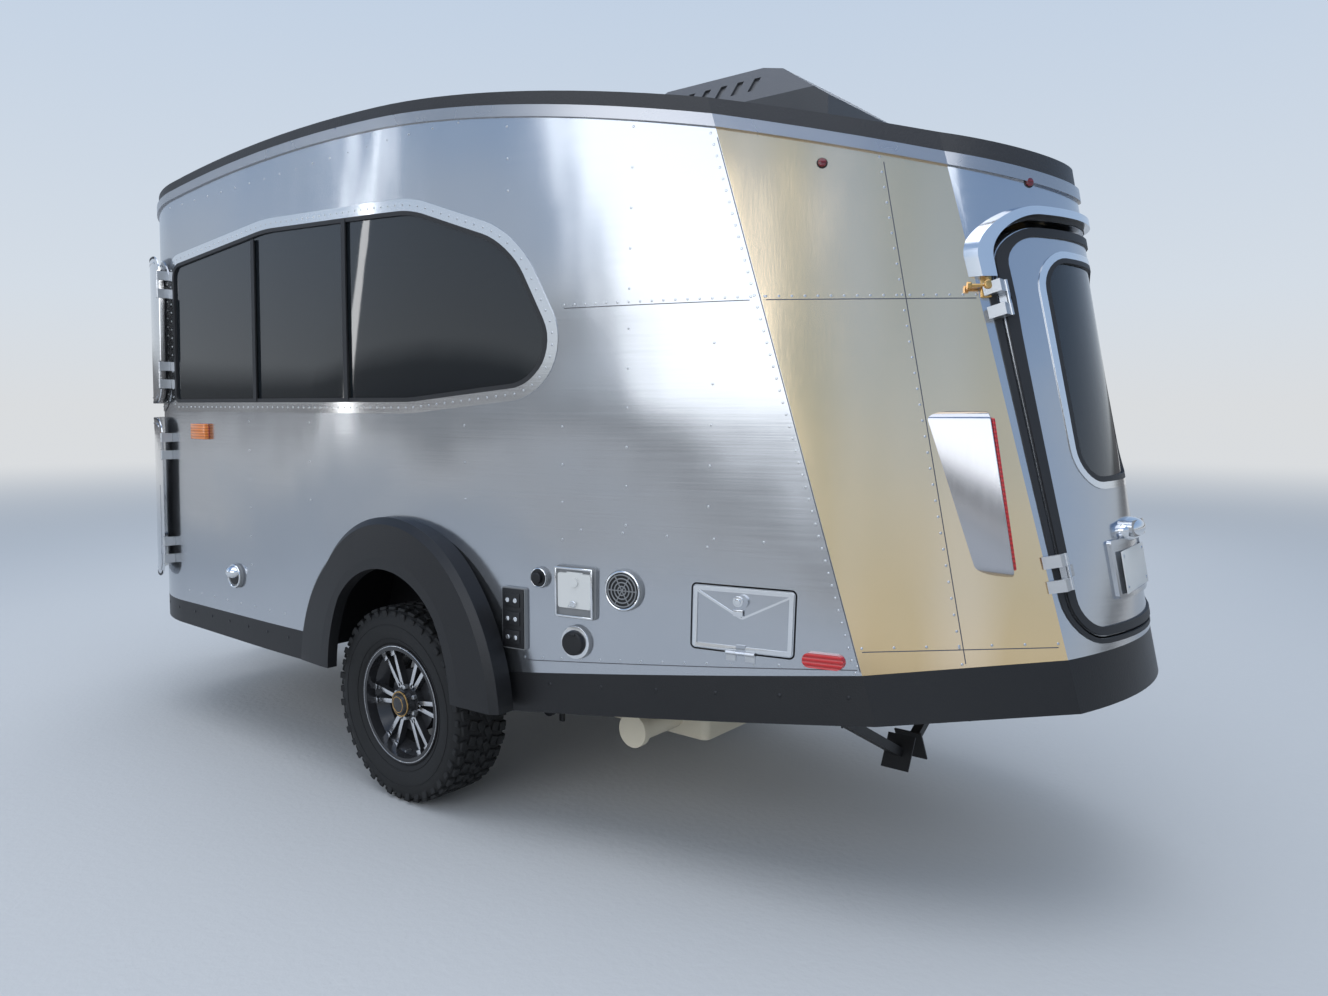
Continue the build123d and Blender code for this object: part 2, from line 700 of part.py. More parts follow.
# Coupler: a pressed triangle over the A-frame's tip with a socket for the ball
COUPLER_T = 8.0
COUPLER_Z = A_FRAME_TOP_Z + GAP
COUPLER_HEAD_R = 42.0
SOCKET_FOOT_Z = COUPLER_Z - 60.0
JACK_TUBE_R = 29.0
JACK_HOLE_R = JACK_TUBE_R + GAP
with BuildPart() as coupler:
    with BuildSketch(Plane.XY.offset(COUPLER_Z)):
        Polygon(
            (COUPLER_X, -COUPLER_HEAD_R),
            (COUPLER_X, COUPLER_HEAD_R),
            (A_FRAME_TIP_X + 150, A_FRAME_TIP_Y + 85),
            (A_FRAME_TIP_X + 150, -A_FRAME_TIP_Y - 85),
            align=None,
        )
        with Locations((COUPLER_X, 0)):
            Circle(COUPLER_HEAD_R)
    extrude(amount=COUPLER_T)
    with BuildSketch(Plane.XY.offset(SOCKET_FOOT_Z)):
        with Locations((COUPLER_X, 0)):
            Circle(BALL_R + 9)
    extrude(amount=COUPLER_Z - SOCKET_FOOT_Z)
    with BuildSketch(Plane.XY.offset(SOCKET_FOOT_Z)):
        with Locations((COUPLER_X, 0)):
            Circle(BALL_R + BALL_CLEAR)
    extrude(amount=COUPLER_Z - SOCKET_FOOT_Z - 9, mode=Mode.SUBTRACT)
    with BuildSketch(Plane.XY.offset(COUPLER_Z)):
        with Locations((JACK_X, 0)):
            Circle(JACK_HOLE_R)
    extrude(amount=COUPLER_T, mode=Mode.SUBTRACT)
save(coupler.part, "coupler")

# Tongue jack: a fixed tube with crank and a sliding leg with its foot on the ground
JACK_FOOT_Z = 300.0
JACK_HEAD_Z = 800.0
JACK_LEG_R = 24.0
JACK_FIT = 0.4
FOOT_R = 60.0
FOOT_T = 8.0
with BuildPart() as jack_tube:
    with BuildSketch(Plane.XY.offset(JACK_FOOT_Z)):
        with Locations((JACK_X, 0)):
            Circle(JACK_TUBE_R)
            Circle(JACK_LEG_R + JACK_FIT, mode=Mode.SUBTRACT)
    extrude(amount=JACK_HEAD_Z - JACK_FOOT_Z)
    with BuildSketch(Plane.XY.offset(JACK_HEAD_Z)):
        with Locations((JACK_X, 0)):
            Circle(JACK_TUBE_R + 8)
    extrude(amount=36)
    with BuildSketch(Plane.XY.offset(COUPLER_Z + COUPLER_T + GAP)):
        with Locations((JACK_X, 0)):
            Circle(JACK_TUBE_R + 15)
            Circle(JACK_TUBE_R - 1, mode=Mode.SUBTRACT)
    extrude(amount=8)
    with BuildSketch(Plane.XY.offset(JACK_HEAD_Z + 36)):
        with Locations((JACK_X, 0)):
            Circle(9)
    extrude(amount=22)
    with BuildSketch(Plane.XY.offset(JACK_HEAD_Z + 58)):
        with Locations((JACK_X, 70)):
            SlotOverall(160, 22, rotation=90)
    extrude(amount=10)
    with BuildSketch(Plane.XY.offset(JACK_HEAD_Z + 68)):
        with Locations((JACK_X, 138)):
            Circle(10)
    extrude(amount=90)
save(jack_tube.part, "jack_tube")
with BuildPart() as jack_leg:
    with BuildSketch(Plane.XY):
        with Locations((JACK_X, 0)):
            Circle(FOOT_R)
    extrude(amount=FOOT_T)
    with BuildSketch(Plane.XY.offset(FOOT_T)):
        with Locations((JACK_X, 0)):
            Circle(JACK_LEG_R)
    extrude(amount=JACK_HEAD_Z - 300 - FOOT_T)
save(jack_leg.part, "jack_leg")

# Wheels: tyre, and rim with drum and split spokes
BEAD_W = 92.0
with BuildPart() as tyre_street:
    with BuildSketch(Plane.XY) as half:
        with BuildLine():
            w = TYRE_W / 2
            FilletPolyline(
                (BEAD_W, RIM_LIP_R - 6),
                (BEAD_W, RIM_LIP_R + 10),
                (w - 6, RIM_LIP_R + 46),
                (w, TYRE_R - 75),
                (w - 12, TYRE_R - 12),
                (w - 30, TYRE_R),
                (-w + 30, TYRE_R),
                (-w + 12, TYRE_R - 12),
                (-w, TYRE_R - 75),
                (-w + 6, RIM_LIP_R + 46),
                (-BEAD_W, RIM_LIP_R + 10),
                (-BEAD_W, RIM_LIP_R - 6),
                radius=14,
            )
            Line((-BEAD_W, RIM_LIP_R - 6), (BEAD_W, RIM_LIP_R - 6))
        make_face()
    revolve(axis=Axis.X)
wheel_place = Location((AXLE_X, -WHEEL_Y, TYRE_R), (0, 0, 90))
tyre = tyre_street.part.moved(wheel_place)
save(tyre, "tyre_street")
save(tyre.mirror(Plane.XZ), "tyre_kerb")

RIM_FACE = 62.0
RIM_WELL_R = 180.0
RIM_T = 8.0
SPOKE_W = 13.0
SPOKE_SPREAD = 8.0
SPOKE_T = 26.0
TYRE_SEAT_R = RIM_LIP_R - 6 - GAP
# The wheel's outer face looks along +X before it is placed
with BuildPart() as rim_blank:
    with BuildSketch(Plane.XY):
        with BuildLine():
            Polyline(
                (-BEAD_W - 2, TYRE_SEAT_R),
                (-BEAD_W - 2, RIM_LIP_R + 6),
                (-BEAD_W - 8, RIM_LIP_R + 6),
                (-BEAD_W - 8, TYRE_SEAT_R - RIM_T),
                (-BEAD_W + 20, TYRE_SEAT_R - RIM_T),
                (-BEAD_W + 40, RIM_WELL_R - RIM_T),
                (20, RIM_WELL_R - RIM_T),
                (60, TYRE_SEAT_R - RIM_T),
                (BEAD_W + 8, TYRE_SEAT_R - RIM_T),
                (BEAD_W + 8, RIM_LIP_R + 6),
                (BEAD_W + 2, RIM_LIP_R + 6),
                (BEAD_W + 2, TYRE_SEAT_R),
                (64, TYRE_SEAT_R),
                (28, RIM_WELL_R),
                (-BEAD_W + 36, RIM_WELL_R),
                (-BEAD_W + 20, TYRE_SEAT_R),
                close=True,
            )
        make_face()
    revolve(axis=Axis.X)
    with BuildSketch(Plane.YZ.offset(RIM_FACE - SPOKE_T)):
        for k in range(SPOKES):
            for spread in (-SPOKE_SPREAD, SPOKE_SPREAD):
                turn = 360 / SPOKES * k + spread
                mid = (RIM_WELL_R + HUB_R) / 2
                with Locations(Location((mid * cos(radians(turn)), mid * sin(radians(turn))), turn)):
                    Rectangle(RIM_WELL_R - HUB_R + 24, SPOKE_W)
        Circle(HUB_R + 6)
    extrude(amount=SPOKE_T)
    drum_inner = -(WHEEL_Y - DRUM_INNER_Y)
    with BuildSketch(Plane.YZ.offset(drum_inner)):
        Circle(DRUM_R)
        Circle(SPINDLE_R + SPINDLE_FIT, mode=Mode.SUBTRACT)
    extrude(amount=RIM_FACE - SPOKE_T - drum_inner)
    with BuildSketch(Plane.YZ.offset(RIM_FACE)):
        Circle(HUB_R - 12)
    extrude(amount=34, taper=8)
rim_place = Location((AXLE_X, -WHEEL_Y, TYRE_R), (0, 0, -90))
rim = rim_blank.part.moved(rim_place)
save(rim, "rim_street")
save(rim.mirror(Plane.XZ), "rim_kerb")

# Roof air conditioner
AC_FOOT_X = 780.0
AC_TAIL_X = 1580.0
AC_TOP_X = (860.0, 1270.0)
AC_BEND_X = 1360.0
AC_TOP_Z = 2600.0
AC_BEND_Z = 2575.0
AC_NOSE_Z = 2535.0
AC_TAIL_Z = 2430.0
AC_HALF_W = 345.0
AC_TOP_HALF_W = 235.0
AC_DEEP = 36.0
AC_SLATS = 7
AC_SLAT = (26.0, 16.0, 70.0)
dome_top = ROOF_LINE_Z + RAIL_H + ROOF_EDGE_H + ROOF_CAMBER


def roof_top_at(x):
    """Height of the roof panel's crown over the middle line."""
    r = dome_top - ROOF_PIVOT_Z
    return ROOF_PIVOT_Z + sqrt(r**2 - (x - ROOF_LINE_X) ** 2)


with BuildSketch(Plane.XZ) as ac_side:
    Polygon(
        (AC_FOOT_X, roof_top_at(AC_FOOT_X) - AC_DEEP),
        (AC_FOOT_X, AC_NOSE_Z),
        (AC_TOP_X[0], AC_TOP_Z),
        (AC_TOP_X[1], AC_TOP_Z),
        (AC_BEND_X, AC_BEND_Z),
        (AC_TAIL_X, AC_TAIL_Z),
        (AC_TAIL_X, roof_top_at(AC_TAIL_X) - AC_DEEP),
        align=None,
    )
ac_foot_z = roof_top_at(AC_FOOT_X)
with BuildSketch(Plane.YZ) as ac_front:
    Polygon(
        (-AC_HALF_W, roof_top_at(AC_TAIL_X) - AC_DEEP),
        (AC_HALF_W, roof_top_at(AC_TAIL_X) - AC_DEEP),
        (AC_HALF_W, ac_foot_z),
        (AC_TOP_HALF_W, AC_TOP_Z),
        (-AC_TOP_HALF_W, AC_TOP_Z),
        (-AC_HALF_W, ac_foot_z),
        align=None,
    )
ac_block = extrude(ac_side.sketch, amount=AC_HALF_W, both=True) & extrude(ac_front.sketch, amount=BIG / 2)
ac_lean = degrees(atan2(AC_HALF_W - AC_TOP_HALF_W, AC_TOP_Z - ac_foot_z))
roof_under_ac = roof_slab(ROOF_LINE_R + RAIL_H + ROOF_EDGE_H + GAP, slab_half_w, ROOF_CAMBER)
ac_block = ac_block - roof_under_ac
with BuildPart() as air_conditioner:
    add(ac_block)
    slat_step = (AC_TOP_X[1] - AC_TOP_X[0]) / (AC_SLATS - 1)
    for k in range(AC_SLATS):
        for side in (-1, 1):
            spot = (AC_TOP_X[0] + k * slat_step, side * (AC_HALF_W + AC_TOP_HALF_W) / 2, (ac_foot_z + AC_TOP_Z) / 2)
            with Locations(Location(spot, (side * ac_lean, 0, 0))):
                Box(*AC_SLAT, mode=Mode.SUBTRACT)
save(air_conditioner.part, "air_conditioner")

# Gas bottles on their tray and the battery box beside the A-frame tip
BOTTLE_R = 152.0
BOTTLE_H = 330.0
BOTTLE_X = -2168.0
BOTTLE_Y = 160.0
COLLAR_SINK = 50.0
TRAY_T = 6.0
TRAY_Z = A_FRAME_TOP_Z + COUPLER_T + GAP
with BuildPart() as gas_bottles:
    with BuildSketch(Plane.XY.offset(TRAY_Z + GAP)):
        with Locations((BOTTLE_X, 0)):
            RectangleRounded(2 * BOTTLE_R + 12, 2 * (BOTTLE_Y + BOTTLE_R) + 12, 30)
    extrude(amount=TRAY_T)
    for side in (-1, 1):
        with BuildSketch(Plane.XZ.offset(-side * BOTTLE_Y)) as section:
            with BuildLine():
                z0 = TRAY_Z + GAP + TRAY_T
                foot = [(BOTTLE_X, z0 - 2), (BOTTLE_X + BOTTLE_R - 40, z0 - 2), (BOTTLE_X + BOTTLE_R, z0 + 70)]
                top = [(BOTTLE_X + BOTTLE_R, z0 + BOTTLE_H - 90), (BOTTLE_X + 60, z0 + BOTTLE_H)]
                Polyline(*foot, *top, (BOTTLE_X, z0 + BOTTLE_H), close=True)
            make_face()
        revolve(axis=Axis((BOTTLE_X, side * BOTTLE_Y, 0), (0, 0, 1)))
        with BuildSketch(Plane.XY.offset(z0 + BOTTLE_H - COLLAR_SINK)):
            with Locations((BOTTLE_X, side * BOTTLE_Y)):
                Circle(100)
                Circle(94, mode=Mode.SUBTRACT)
        extrude(amount=COLLAR_SINK + 120)
        with BuildSketch(Plane.XY.offset(z0 + BOTTLE_H)):
            with Locations((BOTTLE_X, side * BOTTLE_Y)):
                Circle(16)
        extrude(amount=85)
save(gas_bottles.part, "gas_bottles")


# Waste tank under the floor behind the axle, with its drain
TANK_X0, TANK_X1 = 440.0, 1190.0
TANK_HALF_W = 430.0
TANK_TOP_Z = CHASSIS_TOP_Z - CHASSIS_H / 2 - CROSS_H / 2 - GAP
TANK_FOOT_Z = 292.0
DRAIN_R = 45.0
with BuildPart() as waste_tank:
    with BuildSketch(Plane.XY.offset(TANK_TOP_Z)):
        with Locations(((TANK_X0 + TANK_X1) / 2, 0)):
            RectangleRounded(TANK_X1 - TANK_X0, 2 * TANK_HALF_W, 40)
    extrude(amount=-(TANK_TOP_Z - TANK_FOOT_Z), taper=6)
    with BuildSketch(Plane.XZ.offset(TANK_HALF_W - 40)):
        with Locations((TANK_X1 - 160, (TANK_TOP_Z + TANK_FOOT_Z) / 2)):
            Circle(DRAIN_R)
    extrude(amount=230)
    with BuildSketch(Plane.XZ.offset(TANK_HALF_W - 40 + 230)):
        with Locations((TANK_X1 - 160, (TANK_TOP_Z + TANK_FOOT_Z) / 2)):
            Circle(DRAIN_R + 14)
    extrude(amount=26)
save(waste_tank.part, "waste_tank")


def wall_y(x, z):
    """The street wall's outer face as a y value, ahead of the crease."""
    plan = Plan(z, 0)
    if x <= plan.bend[0]:
        return -plan.bend[1]
    drop = plan.bend[1] - plan.crease[1]
    r = ((plan.crease[0] - plan.bend[0]) ** 2 + drop**2) / (2 * drop)
    return -(plan.bend[1] - r + sqrt(r**2 - (x - plan.bend[0]) ** 2))


def wall_turn(x, z):
    """The angle of the street wall in plan, in degrees."""
    return degrees(atan2(wall_y(x + 1, z) - wall_y(x - 1, z), 2))


# Fittings on the street wall: each pad follows the wall's face and stands proud of it
PAD_PROUD = 12.0
PAD_SHAPES = (
    # x, z, width, height, corner radius
    (764.0, 766.0, 95.0, 206.0, 8.0),
    (868.0, 911.0, 68.0, 68.0, 33.0),
    (1010.0, 876.0, 150.0, 168.0, 12.0),
    (1182.0, 898.0, 129.0, 129.0, 63.0),
    (1010.0, 715.0, 108.0, 108.0, 53.0),
    (-871.0, 740.0, 104.0, 104.0, 50.0),
)
FILL_PAD = 2
pad_skin = ruled(side_face, -PAD_PROUD, 0)
with BuildPart() as utility_fittings:
    for x, z, width, height, radius in PAD_SHAPES:
        with BuildSketch(Plane.XZ) as pad_shape:
            with Locations((x, z)):
                RectangleRounded(width, height, radius)
        extrude(amount=BIG / 2)
    add(pad_skin, mode=Mode.INTERSECT)
save(utility_fittings.part, "utility_fittings")


def quarter_point(z, share, proud=0.0):
    """A point on the street quarter panel: share runs from the crease (0) to the tail (1)."""
    plan = Plan(z, -proud)
    x = plan.crease[0] + share * (plan.edge[0] - plan.crease[0])
    y = plan.crease[1] + share * (plan.edge[1] - plan.crease[1])
    return (x, -y)


# Tail lamp pods: wedges on the quarter panels with the lens on the face that looks back
POD_FOOT_Z = 1000.0
POD_TOP_Z = 1452.0
POD_START = 0.56
POD_END = 0.85
POD_DEEP = 66.0
POD_R = 34.0
POD_LEAN = 20.0
LENS_T = 7.0
LENS_RIM = 6.0


def pod_face(z):
    start, end = quarter_point(z, POD_START), quarter_point(z, POD_END)
    with BuildSketch(Plane.XY.offset(z)) as face:
        Polygon(start, (end[0], end[1] - POD_DEEP), (end[0], end[1] - 0.5), end, align=None)
    return face.sketch


def lens_face(z):
    end = quarter_point(z, POD_END)
    with BuildSketch(Plane.XY.offset(z)) as face:
        Polygon(
            (end[0], end[1] - POD_DEEP + LENS_RIM),
            (end[0] + LENS_T, end[1] - POD_DEEP + LENS_RIM),
            (end[0] + LENS_T, end[1] - LENS_RIM),
            (end[0], end[1] - LENS_RIM),
            align=None,
        )
    return face.sketch


pod_start, pod_end = (quarter_point((POD_FOOT_Z + POD_TOP_Z) / 2, share) for share in (POD_START, POD_END))
pod_chord = Vector(pod_end[0] - pod_start[0], pod_end[1] - pod_start[1])
pod_plane = Plane(
    origin=(*pod_start, POD_FOOT_Z), x_dir=pod_chord, z_dir=(pod_chord.Y, -pod_chord.X, 0)
)
with BuildSketch(pod_plane) as pod_outline:
    with BuildLine():
        FilletPolyline(
            (BIG / 4, 0),
            (-POD_LEAN, 0),
            (-POD_LEAN, POD_TOP_Z - POD_FOOT_Z),
            (BIG / 4, POD_TOP_Z - POD_FOOT_Z),
            radius=POD_R,
            close=True,
        )
    make_face()
pod = loft([pod_face(POD_FOOT_Z), pod_face(POD_TOP_Z)], ruled=True)
pod &= extrude(pod_outline.sketch, amount=BIG / 4, both=True)
lens = loft([lens_face(POD_FOOT_Z + LENS_RIM), lens_face(POD_TOP_Z - LENS_RIM)], ruled=True)
with BuildPart() as tail_pods:
    add(both_sides(pod))
save(tail_pods.part, "tail_pods")
with BuildPart() as tail_lenses:
    add(both_sides(lens))
save(tail_lenses.part, "tail_lenses")

# Access door in the street wall, hinged along its foot
ACCESS_X = 1564.0
ACCESS_Z = 843.0
ACCESS_W = 310.0
ACCESS_H = 190.0
ACCESS_R = 12.0
ACCESS_T = 16.0
ACCESS_GAP = 5.0
HINGE_R = 6.0
with BuildSketch(Plane.XZ) as access_shape:
    with Locations((ACCESS_X, ACCESS_Z)):
        RectangleRounded(ACCESS_W, ACCESS_H, ACCESS_R)
with BuildSketch(Plane.XZ) as access_gap_shape:
    with Locations((ACCESS_X, ACCESS_Z)):
        RectangleRounded(ACCESS_W + 2 * ACCESS_GAP, ACCESS_H + 2 * ACCESS_GAP, ACCESS_R + ACCESS_GAP)
access_prism = side_prism(access_shape.sketch, -BIG / 2, 0)
access_hole = side_prism(access_gap_shape.sketch, -BIG / 2, 0)

with BuildPart() as wall_street:
    add(side_blank)
    add(street_window, mode=Mode.SUBTRACT)
    add(access_hole, mode=Mode.SUBTRACT)
save(wall_street.part, "wall_street")


def hinge_frame(point, along, towards):
    """A plane on a hinge's pin: z runs along the pin and x points to the moving leaf."""
    z_dir = Vector(along).normalized()
    x_dir = Vector(towards)
    x_dir = (x_dir - z_dir * x_dir.dot(z_dir)).normalized()
    return Plane(origin=point, x_dir=x_dir, z_dir=z_dir)


HINGE_LEAF_T = 3.0
PANEL_BITE = 1.5


def hinge_leaf(plane, length, moving):
    """Half a hinge on a pin that stands HINGE_R + GAP proud, with y away from the surface."""
    third = length / 3
    spans = [(0, third - 2 * GAP)] if moving else [(-third, third), (third, third)]
    leaf_w = 4 * HINGE_R
    leaf_t = HINGE_LEAF_T + (PANEL_BITE + GAP if moving else 0)
    with BuildPart(plane) as leaf:
        for mid, tall in spans:
            with Locations((0, 0, mid)):
                Cylinder(HINGE_R, tall)
            with Locations(((1 if moving else -1) * leaf_w / 2, -HINGE_R + HINGE_LEAF_T - leaf_t / 2, mid)):
                Box(leaf_w, leaf_t, tall)
    return leaf.part


def on_skin(solid, point, direction):
    """The first place where a line from point along direction meets a solid's face."""
    hits = solid.find_intersection_points(Axis(point, direction))
    return min((hit for hit, _ in hits), key=lambda hit: (hit - Vector(point)).dot(Vector(direction)))


fixed_leaves = []
skin_clear = hull(-GAP)

# Access door
access_turn = radians(wall_turn(ACCESS_X, ACCESS_Z))
access_along = (cos(access_turn), sin(access_turn), 0)
access_foot_z = ACCESS_Z - ACCESS_H / 2 - ACCESS_GAP / 2
access_seat = on_skin(side_wall, (ACCESS_X, -BIG / 2, access_foot_z), (0, 1, 0))
access_out = Vector(sin(access_turn), -cos(access_turn), 0)
access_pin = access_seat + access_out * (HINGE_R + GAP)
access_frame = hinge_frame(access_pin, access_along, (0, 0, 1))
fixed_leaves.append(hinge_leaf(access_frame, 90, False) - skin_clear)
access_skin = ruled(side_face, 0, ACCESS_T)
access_blank = access_skin & access_prism
latch_seat = on_skin(side_wall, (ACCESS_X, -BIG / 2, ACCESS_Z + 55), (0, 1, 0))
latch_plane = Plane(origin=latch_seat - access_out * 4, x_dir=access_along, z_dir=access_out)
access_leaf = hinge_leaf(access_frame, 90, True)
with BuildPart() as access_door:
    add(access_blank)
    add(access_leaf)
    with BuildSketch(latch_plane):
        Circle(20)
    extrude(amount=13)
save(access_door.part, "access_door")

# Fill lid over its pad, hinged along its top
LID_W = 128.0
LID_H = 140.0
LID_T = 8.0
FILL_X, FILL_Z = PAD_SHAPES[FILL_PAD][0], PAD_SHAPES[FILL_PAD][1]
lid_turn = radians(wall_turn(FILL_X, FILL_Z))
lid_out = Vector(sin(lid_turn), -cos(lid_turn), 0)
lid_seat = on_skin(side_wall, (FILL_X, -BIG / 2, FILL_Z), (0, 1, 0)) + lid_out * (PAD_PROUD + 1.2)
lid_along = (-cos(lid_turn), -sin(lid_turn), 0)
lid_plane = Plane(origin=lid_seat, x_dir=lid_along, z_dir=lid_out)
lid_pin = lid_seat + Vector(0, 0, LID_H / 2 - 8) + lid_out * (LID_T / 2)
lid_frame = hinge_frame(lid_pin, lid_along, (0, 0, -1))
LID_PIN_R = 4.0
with BuildPart() as fill_lid:
    with BuildSketch(lid_plane):
        with Locations((0, -6)):
            RectangleRounded(LID_W, LID_H - 28, 8)
    extrude(amount=LID_T)
    with BuildSketch(lid_plane.offset(LID_T)):
        with Locations((0, -34)):
            Circle(15)
    extrude(amount=5)
    with BuildSketch(Plane(origin=lid_pin - Vector(lid_along) * 30, x_dir=(0, 0, 1), z_dir=lid_along)):
        Circle(LID_PIN_R)
    extrude(amount=60)
    with BuildSketch(Plane(origin=lid_pin - Vector(lid_along) * 30, x_dir=(0, 0, -1), z_dir=lid_along)):
        with Locations((6, 0)):
            Rectangle(14, LID_PIN_R)
    extrude(amount=60)
save(fill_lid.part, "fill_lid")

# Entry door hinges and handle on the kerb side
kerb_wall = side_wall.mirror(Plane.XZ)
DOOR_HINGE_ZS = (760.0, 1380.0, 2080.0)
lean = Vector(0, (SIDE_Y_HIGH - SIDE_Y_LOW) / (HIGH_Z - LOW_Z), 1).normalized()
door_out = Vector(0, lean.Z, -lean.Y)
door_pin_x = DOOR_FRONT_X - DOOR_GAP / 2
door_seats = [on_skin(kerb_wall, (door_pin_x, BIG / 2, z), (0, -1, 0)) for z in DOOR_HINGE_ZS]
door_frames = [hinge_frame(seat + door_out * (HINGE_R + GAP), lean, (1, 0, 0)) for seat in door_seats]
fixed_leaves += [hinge_leaf(frame, 100, False) for frame in door_frames]
door_leaves = [hinge_leaf(frame, 100, True) for frame in door_frames]
handle_seat = on_skin(kerb_wall, (DOOR_REAR_X - 55, BIG / 2, 1290), (0, -1, 0))
handle_plane = Plane(origin=handle_seat - door_out * 3, x_dir=(1, 0, 0), z_dir=door_out)
with BuildPart() as entry_door:
    add(door_blank.part)
    add(door_leaves)
    with BuildSketch(handle_plane):
        RectangleRounded(60, 150, 10)
    extrude(amount=9)
    with BuildSketch(handle_plane.offset(8)):
        with Locations((0, 20)):
            RectangleRounded(30, 80, 8)
    extrude(amount=28)
save(entry_door.part, "entry_door")

# Hatch hinges, lamp hood, plate holder
HATCH_HINGE_ZS = (1763.0, 1008.0)


def hatch_half(z):
    share = (z - HATCH_FOOT_Z) / (HATCH_TOP_Z - HATCH_FOOT_Z)
    return HATCH_FOOT_HALF + (HATCH_TOP_HALF - HATCH_FOOT_HALF) * share


hatch_seats = [
    on_skin(tail_blank, (BIG / 2, -hatch_half(z) - HATCH_GAP / 2, z), (-1, 0, 0)) for z in HATCH_HINGE_ZS
]
hatch_along = (hatch_seats[1] - hatch_seats[0]).normalized()
# The pin stands proud square to the hatch's chord across the body
hatch_out = Vector(0, 1, 0).cross(hatch_along).normalized()
if hatch_out.X < 0:
    hatch_out = hatch_out * -1
HATCH_PIN_STAND = 20.0
HATCH_KNUCKLE = 34.0
HATCH_LEAF_W = 44.0
HATCH_SEAT_REACH = 25.0
hatch_pin_points = [seat + hatch_out * (HINGE_R + HATCH_PIN_STAND) for seat in hatch_seats]
hatch_frames = [hinge_frame(point, hatch_along, (0, 1, 0)) for point in hatch_pin_points]


def hatch_hinge(plane, moving):
    """A block hinge standing on the curved skin, its pin proud of the panels."""
    direction = 1 if moving else -1
    depth = HINGE_R + HATCH_PIN_STAND + (PANEL_BITE if moving else HATCH_SEAT_REACH)
    k = HATCH_KNUCKLE
    spans = [(0, k - 2 * GAP)] if moving else [(-k, k), (k, k)]
    with BuildPart(plane) as leaf:
        for mid, tall in spans:
            with Locations((0, 0, mid)):
                Cylinder(HINGE_R, tall)
            with Locations((direction * HATCH_LEAF_W / 2, -depth / 2, mid)):
                Box(HATCH_LEAF_W, depth, tall)
    return leaf.part


hatch_leaves = [hatch_hinge(frame, True) for frame in hatch_frames]
hatch_fixed = [hatch_hinge(frame, False) - skin_clear for frame in hatch_frames]
fixed_leaves += hatch_fixed
PLATE_Z = 1000.0
PLATE_W = 318.0
PLATE_H = 166.0
PLATE_FRAME = 14.0
HOOD_Z = 1110.0
HOOD_W = 150.0
HOOD_H = 46.0
with BuildSketch(Plane.YZ) as plate_shape:
    with Locations((0, PLATE_Z)):
        RectangleRounded(PLATE_W, PLATE_H, 10)
with BuildSketch(Plane.YZ) as hood_shape:
    with Locations((0, HOOD_Z)):
        RectangleRounded(HOOD_W, HOOD_H, 18)
plate_prism = extrude(plate_shape.sketch, amount=BIG / 2)
hood_prism = extrude(hood_shape.sketch, amount=BIG / 2)
tail_pad = ruled(tail_face, -12, 4)
hood_pad = ruled(tail_face, -38, 4)
with BuildSketch(Plane.YZ) as plate_inside:
    with Locations((0, PLATE_Z)):
        RectangleRounded(PLATE_W - 2 * PLATE_FRAME, PLATE_H - 2 * PLATE_FRAME, 6)
plate_inside_prism = extrude(plate_inside.sketch, amount=BIG / 2) - hull(-6)
plate_frame = (tail_pad & plate_prism) - plate_inside_prism
with BuildPart() as hatch:
    add(hatch_blank.part)
    add(hatch_leaves)
    add(plate_frame)
    add(hood_pad & hood_prism)
save(hatch.part, "hatch")

# Drip cap over the hatch
CAP_IN = 20.0
CAP_OUT = 44.0
CAP_PROUD = 22.0
cap_prism = extrude(
    rear_outline(HATCH_FOOT_Z, HATCH_TOP_Z, HATCH_FOOT_HALF, HATCH_TOP_HALF, HATCH_R, CAP_OUT), amount=BIG / 2
) - extrude(
    rear_outline(HATCH_FOOT_Z, HATCH_TOP_Z, HATCH_FOOT_HALF, HATCH_TOP_HALF, HATCH_R, CAP_IN), amount=BIG / 2
)
cap_low = Box(BIG, BIG, 2 * (HATCH_TOP_Z - 160))
cap_skin = hull(-CAP_PROUD) - hull(-GAP)
with BuildPart() as drip_cap:
    add(cap_skin)
    add(cap_prism, mode=Mode.INTERSECT)
    add(cap_low, mode=Mode.SUBTRACT)
save(drip_cap.part, "drip_cap")

